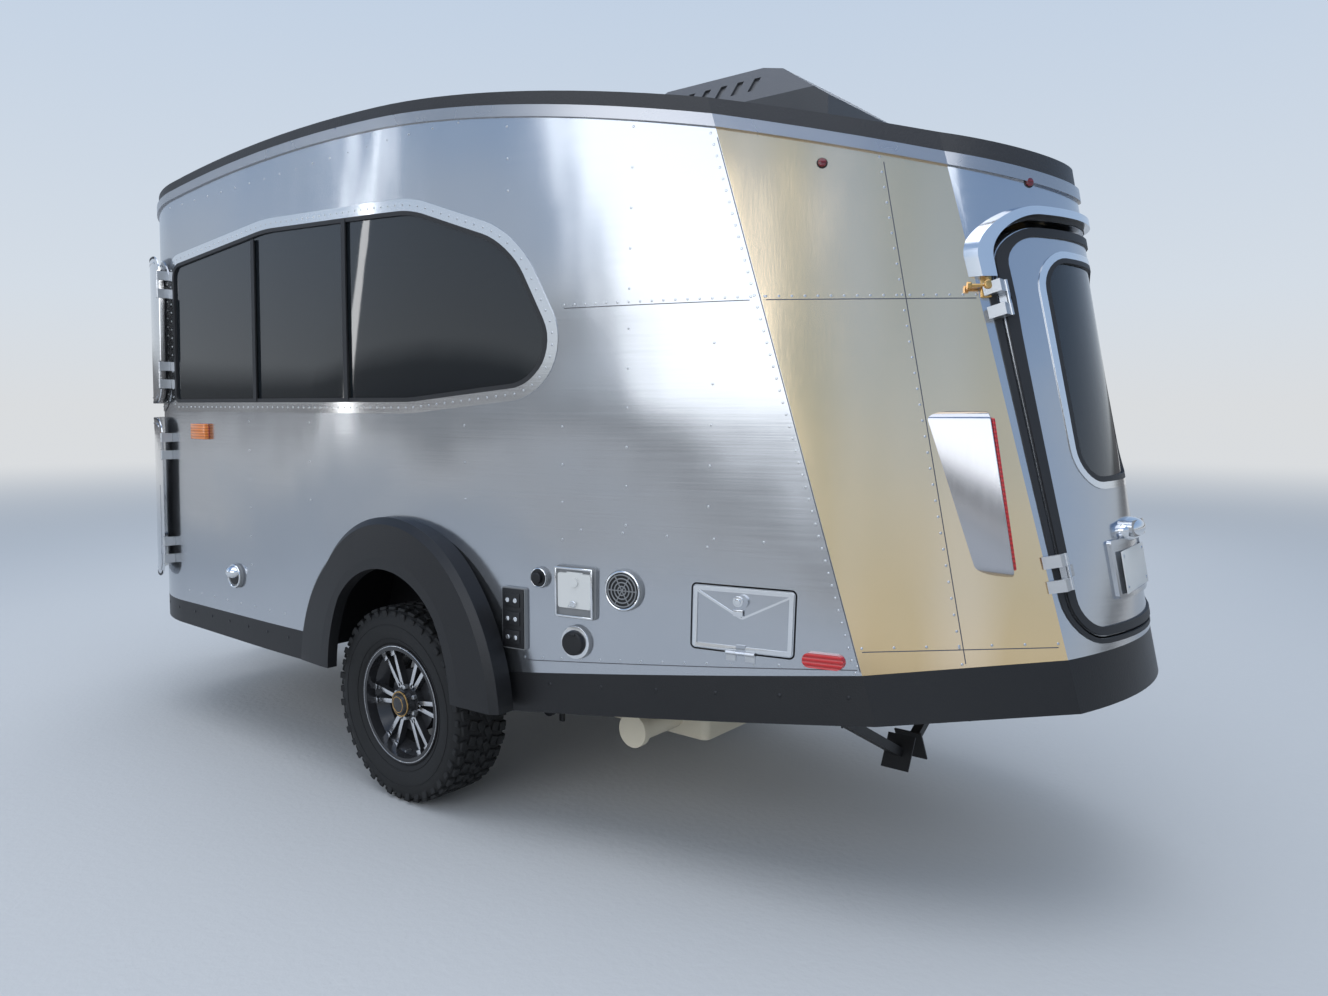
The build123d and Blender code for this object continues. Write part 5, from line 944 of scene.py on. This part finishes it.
# %% Machined spoke faces, hub cap, nuts and valve
for side, seat in wheel_seats.items():
    bright = bmesh.new()
    for k in range(6):
        for spread in (-8, 8):
            spoke = seat @ Matrix.Rotation(radians(60 * k + spread), 4, "Z")
            block(bright, spoke, (0.124, 0.0165, 0.0030), (0.128, 0, 0.0630), 0.0009)
            block(bright, spoke, (0.030, 0.0250, 0.0034), (0.196, 0, 0.0690), 0.0012)
        root = seat @ Matrix.Rotation(radians(60 * k), 4, "Z")
        block(bright, root, (0.020, 0.022, 0.0030), (0.070, 0, 0.0630), 0.0009)
    hoop(bright, seat, 0.2165, 0.0020, (0, 0, 0.0985), 72)
    piece(f"machined_faces_{side}", bright, machined.material, f"wheel_{side}")
    cap, rim_line = bmesh.new(), bmesh.new()
    drum(cap, seat, 0.040, 0.010, (0, 0, 0.095), 0.036, 36, 0.002)
    piece(f"hub_cap_{side}", cap, alloy_black, f"wheel_{side}")
    hoop(rim_line, seat, 0.0455, 0.0030, (0, 0, 0.0945), 40)
    hoop(rim_line, seat, 0.0290, 0.0016, (0, 0, 0.1050), 32)
    piece(f"hub_ring_{side}", rim_line, brass.material, f"wheel_{side}")
    nuts = bmesh.new()
    for k in range(6):
        at = Matrix.Rotation(radians(60 * k + 30), 4, "Z") @ Vector((0.0585, 0, 0.061))
        drum(nuts, seat, 0.0085, 0.016, at, sides=6, edge=0.0015)
    drum(nuts, seat, 0.004, 0.026, (0, -0.186, 0.050), sides=10)
    piece(f"wheel_nuts_{side}", nuts, zinc_plate, f"wheel_{side}")

# %% [markdown]
# ## Service fittings on the sides
# Low on the street side sit the cable plate, an aerial socket, the water fill with its lock, a round
# vent, the power inlet and the heater's outlet. They stand on the pads of the solid part.

# %% Street side fittings
pads = tree_of("utility_fittings", "fill_lid")


def pad_at(x, z):
    return seat_at(street, x, z, pads)


plates, bright, dark = bmesh.new(), bmesh.new(), bmesh.new()
seat = pad_at(0.764, 0.766)
block(dark, seat, (0.088, 0.198, 0.006), (0, 0, 0.002), 0.002)
for k in range(3):
    block(dark, seat, (0.062, 0.046, 0.006), (0, 0.062 - 0.062 * k, 0.006), 0.002)
    for x in (-0.016, 0.016):
        drum(bright, seat, 0.008, 0.006, (x, 0.062 - 0.062 * k, 0.008), sides=16, edge=0.001)
seat = pad_at(0.868, 0.911)
drum(dark, seat, 0.031, 0.006, (0, 0, 0), 0.028)
drum(dark, seat, 0.018, 0.014, (0, 0, 0.004), edge=0.003)
hoop(bright, seat, 0.030, 0.0025, (0, 0, 0.002))
seat = pad_at(1.182, 0.898)
drum(dark, seat, 0.058, 0.004)
for radius in (0.014, 0.026, 0.038, 0.050):
    hoop(plates, seat, radius, 0.0022, (0, 0, 0.006), 36, 6)
for k in range(3):
    block(plates, seat, (0.106, 0.0035, 0.003), (0, 0, 0.0055), 0.0008, pi * k / 3)
hoop(bright, seat, 0.059, 0.0035, (0, 0, 0.003), 40)
seat = pad_at(1.010, 0.715)
drum(bright, seat, 0.053, 0.004, sides=40, edge=0.001)
drum(dark, seat, 0.041, 0.020, (0, 0, 0.003), 0.038, 36, 0.004)
block(dark, seat, (0.030, 0.010, 0.012), (0, 0.030, 0.022), 0.003)
seat = pad_at(-0.871, 0.740)
hoop(bright, seat, 0.047, 0.004, (0, 0, 0.003), 36)
drum(dark, seat, 0.036, 0.003)
bmesh.ops.create_uvsphere(bright, u_segments=24, v_segments=12, radius=1.0, matrix=seat @ Matrix.Translation(
    (0, 0.018, 0)) @ Matrix.Diagonal((0.040, 0.028, 0.036, 1.0)))
piece("sockets_and_caps", dark, black_moulding)
piece("vent_bars", plates, fitting_moulding)
piece("bright_rings", bright, trim_sheet)

lock = bmesh.new()
lid_seat = pad_at(1.010, 0.860)
drum(lock, lid_seat, 0.011, 0.008, (0, -0.020, 0), sides=24, edge=0.002)
block(lock, lid_seat, (0.030, 0.008, 0.006), (0, -0.020, 0.008), 0.002, 0.5)
piece("fill_lock", lock, trim_sheet, "fill_lid")
rim = bmesh.new()
seat = pad_at(1.010, 0.876)
for size, at in (((0.142, 0.007, 0.005), (0, 0.077, 0)), ((0.142, 0.007, 0.005), (0, -0.077, 0)),
                 ((0.007, 0.160, 0.005), (0.068, 0, 0)), ((0.007, 0.160, 0.005), (-0.068, 0, 0))):
    block(rim, seat, size, at, 0.002)
piece("fill_rim", rim, trim_sheet)

# %% The stamped access door: rolled rim, envelope folds, latch
door_tree = tree_of("access_door")
ACCESS_X, ACCESS_Z = 1.564, 0.843
folds = (((-0.150, 0.082), (0.0, 0.004)), ((0.0, 0.004), (0.150, 0.082)))
access_corners = upright(0.155, 0.748, 0.938, 0.012, ACCESS_X)
rolled = pressed_ring(access_corners, -0.016, 0.012, street, 0.0005, door_tree)
piece("access_rim", rolled, trim_sheet, "access_door", thick=0.003)
for k, (start, end) in enumerate(folds):
    ends = [(ACCESS_X + x, ACCESS_Z + z) for x, z in (start, end)]
    piece(f"access_fold_{k}", strip_on(street, *ends, 0.006, 0.0006, door_tree), trim_sheet, "access_door",
          thick=0.0025)
latch_seat = seat_at(street, 1.556, 0.898, door_tree)
latch = bmesh.new()
drum(latch, latch_seat, 0.016, 0.004, sides=28, edge=0.001)
drum(latch, latch_seat, 0.010, 0.007, (0, 0, 0.003), sides=20, edge=0.002)
block(latch, latch_seat, (0.030, 0.020, 0.003), (0, -0.034, 0.001), 0.001)
piece("access_latch", latch, trim_sheet, "access_door")
# A thin dark ring in the gap round the door is painted shade.
gap_line = pressed_ring(access_corners, 0.001, 0.004, street, 0.0004)
piece("access_shade", gap_line, seam_shade)

# %% Rivets that hold the hidden ribs
RIBS = {0.95: (0.80, 1.40), 1.18: (1.10, 2.30), 1.45: (1.05, 1.65), 0.55: (1.15, 1.40), -0.30: (1.10, 1.40),
        -0.75: (0.80, 1.40), 0.75: (2.15, 2.35)}
for name, view, flip in wall_views:
    spots = []
    for x, (foot, top) in RIBS.items():
        if flip > 0 or not -1.15 < x < -0.38:
            spots += row(view, (flip * x, foot), (flip * x, top), 0.125)
    spots += row(view, (flip * 1.02, 1.075), (flip * 1.62, 1.075), 0.15)
    spots += row(view, (flip * -1.40, 2.35), (flip * 1.36, 2.405), 0.115)
    spots += row(view, (flip * -1.42, 0.625), (flip * -0.50, 0.625), 0.115)
    if flip < 0:
        spots = [s for s in spots if not -1.12 < s[0].x < -0.40]
    domes(f"rib_rivets_{name}", spots)
spots = []
for z, wide in ((2.24, 0.40), (0.73, 0.40)):
    spots += row(rear, (-wide, z), (wide, z), 0.10)
domes("tail_rivets", spots)

# %% [markdown]
# ## Inside
# Two benches with doors in their fronts run along the walls, and a kitchen cabinet stands across the
# nose. A door front is a thin slab with rounded edges and a bar handle. Each bench carries two
# cushions: a slightly smaller block is blown up as cloth, and no point of the cloth may move further
# than the cap.


# %% Fronts and handles
def facing(direction, at):
    """A seat with its z along direction and its y upwards."""
    out = Vector(direction)
    level = Vector((0, 0, 1)).cross(out).normalized()
    return Matrix.Translation(at) @ Matrix((level, out.cross(level), out)).transposed().to_4x4()


fronts, handles = bmesh.new(), bmesh.new()
for side in (-1, 1):
    for k in range(3):
        seat = facing((0, -side, 0), (0.315 + 0.47 * k, side * 0.330, 0.800))
        block(fronts, seat, (0.430, 0.330, 0.014), (0, 0, 0.005), 0.003)
        block(handles, seat, (0.120, 0.010, 0.010), (0, 0.120, 0.024), 0.003)
        for end in (-0.052, 0.052):
            drum(handles, seat, 0.004, 0.014, (end, 0.120, 0.011), sides=12)
for k in range(4):
    seat = facing((1, 0, 0), (-1.420, -0.720 + 0.48 * k, 0.960))
    block(fronts, seat, (0.450, 0.660, 0.014), (0, 0, 0.005), 0.003)
    block(handles, seat, (0.010, 0.140, 0.010), (0.180, 0.200, 0.024), 0.003)
    for end in (0.140, 0.260):
        drum(handles, seat, 0.004, 0.014, (0.180, end, 0.011), sides=12)
piece("cabinet_fronts", fronts, laminate.material)
piece("cabinet_handles", handles, machined.material)

worktop, steel = bmesh.new(), bmesh.new()
top_seat = Matrix.Translation((-1.640, 0, 1.400))
block(worktop, top_seat, (0.400, 1.560, 0.012), (0, 0, 0.005), 0.004)
for y in (-0.50, -0.22):
    hoop(steel, top_seat, 0.085, 0.004, (0, y, 0.014), 36)
    for k in range(3):
        block(steel, top_seat, (0.160, 0.008, 0.006), (0, y, 0.016), turn=pi * k / 3)
    drum(steel, top_seat, 0.026, 0.010, (0, y, 0.009), edge=0.003)
sink = [(0.002, 0.0015), (0.120, 0.0015), (0.148, 0.004), (0.156, 0.006), (0.164, 0.003), (0.164, 0.0005),
        (0.002, 0.0005)]
spun(steel, top_seat @ Matrix.Translation((0, 0.42, 0.011)), sink, 48)
piece("worktop", worktop, board_edge)
piece("hob_and_sink", steel, machined.material)

# %% Cushions
CAP, VOXEL, FRAMES, PRESSURE = 0.009, 0.012, 20, 4.0
PAD_SHRINK, PAD_LIFT, PAD_GAP = (0.955, 0.950, 0.80), 0.010, 0.004


def blown(mesh):
    """Swells a closed block as cloth under pressure and returns the swollen mesh."""
    loose = placed("blown", mesh)
    grid = loose.modifiers.new("grid", "REMESH")
    grid.mode, grid.voxel_size = "VOXEL", VOXEL
    still = bpy.data.meshes.new_from_object(loose.evaluated_get(bpy.context.evaluated_depsgraph_get()))
    loose.modifiers.clear()
    loose.data = still
    cloth_sim = loose.modifiers.new("cloth", "CLOTH")
    cloth_sim.settings.use_pressure = True
    cloth_sim.settings.uniform_pressure_force = PRESSURE
    cloth_sim.settings.effector_weights.gravity = 0.0
    cloth_sim.point_cache.frame_start, cloth_sim.point_cache.frame_end = 1, FRAMES
    for frame_number in range(1, FRAMES + 1):
        bpy.context.scene.frame_set(frame_number)
    swollen = bpy.data.meshes.new_from_object(loose.evaluated_get(bpy.context.evaluated_depsgraph_get()))
    for before, after in zip(still.vertices, swollen.vertices):
        move = after.co - before.co
        if move.length > CAP:
            after.co = before.co + move * (CAP / move.length)
    bpy.context.scene.frame_set(1)
    bpy.data.objects.remove(loose)
    return swollen


for side in ("street", "kerb"):
    low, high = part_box(f"cushion_{side}")
    middle = (low + high) / 2
    for k, (x0, x1) in enumerate(((low.x, middle.x - PAD_GAP), (middle.x + PAD_GAP, high.x))):
        pad = bmesh.new()
        pad.from_mesh(nodes[f"cushion_{side}"].data)
        bmesh.ops.remove_doubles(pad, verts=pad.verts, dist=1e-5)
        for x, way in ((x0, -1), (x1, 1)):
            bmesh.ops.holes_fill(pad, edges=cut_off(pad, (x - way * 0.001, 0, 0), (way, 0, 0)))
        centre = Vector(((x0 + x1) / 2, middle.y, low.z))
        around = Matrix.Translation(centre) @ Matrix.Diagonal((*PAD_SHRINK, 1)) @ Matrix.Translation(-centre)
        bmesh.ops.transform(pad, matrix=Matrix.Translation((0, 0, PAD_LIFT)) @ around, verts=pad.verts)
        bmesh.ops.recalc_face_normals(pad, faces=pad.faces)
        block_mesh = bpy.data.meshes.new("pad block")
        pad.to_mesh(block_mesh)
        pad.free()
        mesh = blown(block_mesh)
        mesh.materials.clear()
        mesh.materials.append(cloth.material)
        mesh.shade_smooth()
        made = placed(f"seat_cushion_{side}_{k}", mesh)
        rounder = made.modifiers.new("rounder", "SUBSURF")
        rounder.levels = rounder.render_levels = 1
        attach(made, ROOT)
        if k == 0:
            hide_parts(f"cushion_{side}")
print("cushions made, simulated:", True)

# %% [markdown]
# ## Front, tongue and underside
# The rock guards have a rubber edge that stops short of the hinge: a few drawn points there miss the
# guard and would land on a side window across the body. The bottles carry brass valves with
# handwheels. The coupler has its latch, the step its grip ribs, and the tank its drain valve.

# %% Rubber edges of the guards
EDGE_END_X = -1.490
for side, view in (("street", corner_street), ("kerb", corner_kerb)):
    for level, foot, top in (("upper", 1.475, 2.143), ("lower", 0.670, 1.410)):
        guard = tree_of(f"guard_{level}_{side}")
        for name, gap, width, finish, thick in (("edge", -0.010, 0.009, rubber_seal, 0.0012),
                                                ("fold", -0.030, 0.006, guard_sheet, 0.002)):
            band = ring(upright(0.386, foot, top, 0.070), gap, width)
            press(band, view, 0.0003, guard)
            cut_off(band, (EDGE_END_X, 0, 0), (1, 0, 0))
            outward(band, view)
            piece(f"guard_{name}_{level}_{side}", band, finish, f"guard_{level}_{side}",
                  thick=thick)

# %% Bottle valves and coupler fittings
BOTTLE_X, BOTTLE_Y = -2.168, 0.160
valves, wheels = bmesh.new(), bmesh.new()
for side in (-1, 1):
    seat = Matrix.Translation((BOTTLE_X, side * BOTTLE_Y, 0.8106))
    drum(valves, seat, 0.020, 0.030, (0, 0, 0.004), sides=6, edge=0.003)
    across = seat @ Matrix.Translation((0, 0, 0.048)) @ Matrix.Rotation(pi / 2, 4, "Y")
    drum(valves, across, 0.015, 0.070, (0, 0, -0.030), sides=20, edge=0.003)
    drum(valves, across, 0.019, 0.016, (0, 0, 0.036), sides=6, edge=0.002)
    hoop(wheels, seat, 0.028, 0.005, (0, 0, 0.094), 28)
    for k in range(3):
        block(wheels, seat, (0.052, 0.008, 0.006), (0, 0, 0.094), 0.002, pi * k / 3)
    hoop(wheels, seat, 0.0975, 0.0045, (0, 0, 0.120), 40)
beads = bmesh.new()
for side in (-1, 1):
    seat = Matrix.Translation((BOTTLE_X, side * BOTTLE_Y, 0))
    for height in (0.560, 0.615):
        hoop(beads, seat, 0.1520, 0.0022, (0, 0, height), 64)
    drum(beads, seat, 0.006, 0.020, (0.118 * side, 0, 0.476), sides=6)
piece("bottle_weld_beads", beads, bottle_coat)
piece("bottle_valves", valves, brass.material)
piece("bottle_handwheels", wheels, fitting_moulding)

tongue = bmesh.new()
level = Matrix.Translation((0, 0, 0.4745))
block(tongue, level, (0.120, 0.030, 0.010), (-2.435, 0, 0.004), 0.003)
drum(tongue, level, 0.010, 0.014, (-2.470, 0, 0.008), sides=6, edge=0.002)
for x, y in ((-2.300, 0.050), (-2.300, -0.050), (-2.250, 0.075), (-2.250, -0.075)):
    drum(tongue, level, 0.009, 0.009, (x, y, 0), sides=6, edge=0.0015)
piece("coupler_latch", tongue, zinc_plate)

# %% Step ribs, drain valve and rocker fasteners
ribs = bmesh.new()
for k in range(7):
    seat = Matrix.Translation((-0.760, 0.735 + 0.036 * k, 0.442))
    block(ribs, seat, (0.500, 0.010, 0.005), (0, 0, 0.0015), 0.0018)
piece("step_ribs", ribs, rubber_seal, "entry_step")

drain, handle = bmesh.new(), bmesh.new()
seat = facing((0, -1, 0), (0.640, -0.6455, 0.362))
drum(drain, seat, 0.026, 0.020, (0, 0, -0.002), sides=28, edge=0.003)
block(drain, seat, (0.020, 0.070, 0.012), (0.060, 0, 0.004), 0.003)
drum(handle, seat, 0.004, 0.030, (0.060, 0.020, 0.006), sides=12)
block(handle, seat, (0.044, 0.012, 0.010), (0.060, 0.020, 0.036), 0.003)
piece("drain_valve", drain, black_moulding)
piece("drain_handle", handle, fitting_moulding)

rocker_tree = tree_of("rocker")
for name, view, flip in wall_views:
    spots = row(view, (flip * -1.72, 0.535), (flip * -0.48, 0.530), 0.155, rocker_tree)
    spots += row(view, (flip * 0.90, 0.560), (flip * 1.88, 0.655), 0.20, rocker_tree)
    domes(f"rocker_fasteners_{name}", spots, ROOT, 0.007, 0.4, black_moulding, 10)
print("front and underside dressed")

# %% [markdown]
# ## Floor, light and camera
# Bare metal shows what surrounds it, so the room matters as much as the sheet. A pale floor, a
# pale sky that deepens to blue overhead, three large soft lamps and a narrow one light it. The camera
# stands where the fit to the photograph put it, 1.47 m up at the rear of the street side.

# %% Floor
floor = bmesh.new()
bmesh.ops.create_grid(floor, x_segments=1, y_segments=1, size=60)
floor_mesh = bpy.data.meshes.new("ground")
floor.to_mesh(floor_mesh)
floor.free()
ground = placed("ground", floor_mesh)
ground.location.z = solid_low.z - 0.0005
paving = Finish("pale paving", (0.56, 0.56, 0.56), 0.85, Specular_IOR_Level=0.0)
paving.set(Normal=paving.dent(paving.noise(40.0, 4.0), 0.002))
# Far out the paving fades into the haze, so that no dark horizon shows
reach = paving.node("ShaderNodeVectorMath", {"operation": "LENGTH"}, {0: paving.place()}, "Value")
haze = paving.node("ShaderNodeEmission", {}, {"Color": (0.70, 0.72, 0.74, 1.0), "Strength": 1.0})
far = paving.node("ShaderNodeMapRange", {"interpolation_type": "SMOOTHSTEP"},
                  {"Value": reach, 1: 5.0, 2: 26.0})
blended = paving.node("ShaderNodeMixShader", {}, {0: far, 1: Wire(paving, paving.shader.outputs[0]), 2: haze})
paving.tree.links.new(blended.socket, paving.tree.nodes["Material Output"].inputs["Surface"])
ground.data.materials.append(paving.material)

# %% Sky
world = bpy.data.worlds.new("sky")
bpy.context.scene.world = world
world.use_nodes = True
sky = world.node_tree
heading = sky.nodes.new("ShaderNodeTexCoord")
height = sky.nodes.new("ShaderNodeSeparateXYZ")
sky.links.new(heading.outputs["Generated"], height.inputs[0])


def fade(stops):
    """A colour that changes with height over the horizon."""
    ramp = sky.nodes.new("ShaderNodeValToRGB")
    ramp.color_ramp.elements[0].position, ramp.color_ramp.elements[0].color = stops[0]
    ramp.color_ramp.elements[1].position, ramp.color_ramp.elements[1].color = stops[-1]
    for where, colour in stops[1:-1]:
        ramp.color_ramp.elements.new(where).color = colour
    sky.links.new(height.outputs["Z"], ramp.inputs["Fac"])
    return ramp.outputs["Color"]


seen_sky = fade(((0.0, (0.70, 0.72, 0.74, 1)), (0.10, (0.66, 0.72, 0.79, 1)), (0.6, (0.44, 0.57, 0.76, 1))))
# In the metal: a dark skyline of far trees, then haze, then deep blue overhead
mirrored_sky = fade((
    (0.0, (0.14, 0.14, 0.15, 1)), (0.035, (0.20, 0.21, 0.22, 1)), (0.06, (0.66, 0.71, 0.76, 1)),
    (0.30, (0.38, 0.52, 0.74, 1)), (0.8, (0.18, 0.32, 0.60, 1))))
ray = sky.nodes.new("ShaderNodeLightPath")
pick = sky.nodes.new("ShaderNodeMix")
pick.data_type = "RGBA"
sky.links.new(ray.outputs["Is Glossy Ray"], pick.inputs["Factor"])
sky.links.new(seen_sky, pick.inputs[6])
sky.links.new(mirrored_sky, pick.inputs[7])
sky.links.new(pick.outputs[2], sky.nodes["Background"].inputs["Color"])
sky.nodes["Background"].inputs["Strength"].default_value = 1.0


# %% Lamps
def softbox(name, place, aim, size, power):
    lamp = bpy.data.lights.new(name, "AREA")
    lamp.shape, lamp.size, lamp.size_y = "RECTANGLE", *size
    lamp.energy = power
    made = placed(name, lamp)
    made.location = place
    made.rotation_euler = (Vector(aim) - Vector(place)).to_track_quat("-Z", "Y").to_euler()


softbox("overhead", (0.5, -1.5, 8.0), (0, 0, 1), (9, 7), 310)
softbox("street side", (2.6, -10.0, 5.0), (0.2, 0, 1.2), (9, 6), 280)
softbox("far side", (-4.0, 7.0, 5.0), (0, 0, 1), (6, 5), 200)
softbox("streak", (-5.2, -5.0, 2.8), (1.0, -1.0, 1.5), (0.20, 3.4), 9)

# %% Camera
lens_data = bpy.data.cameras.new("camera")
lens_data.sensor_width, lens_data.lens = 36.0, 26.3
lens_data.clip_end = 200
camera = placed("camera", lens_data)
camera.location = (3.121, -3.100, 1.470)
camera.rotation_euler = (radians(90 - 5.5), 0, radians(38.5))
bpy.context.scene.camera = camera
bpy.context.scene.view_settings.view_transform = "Standard"
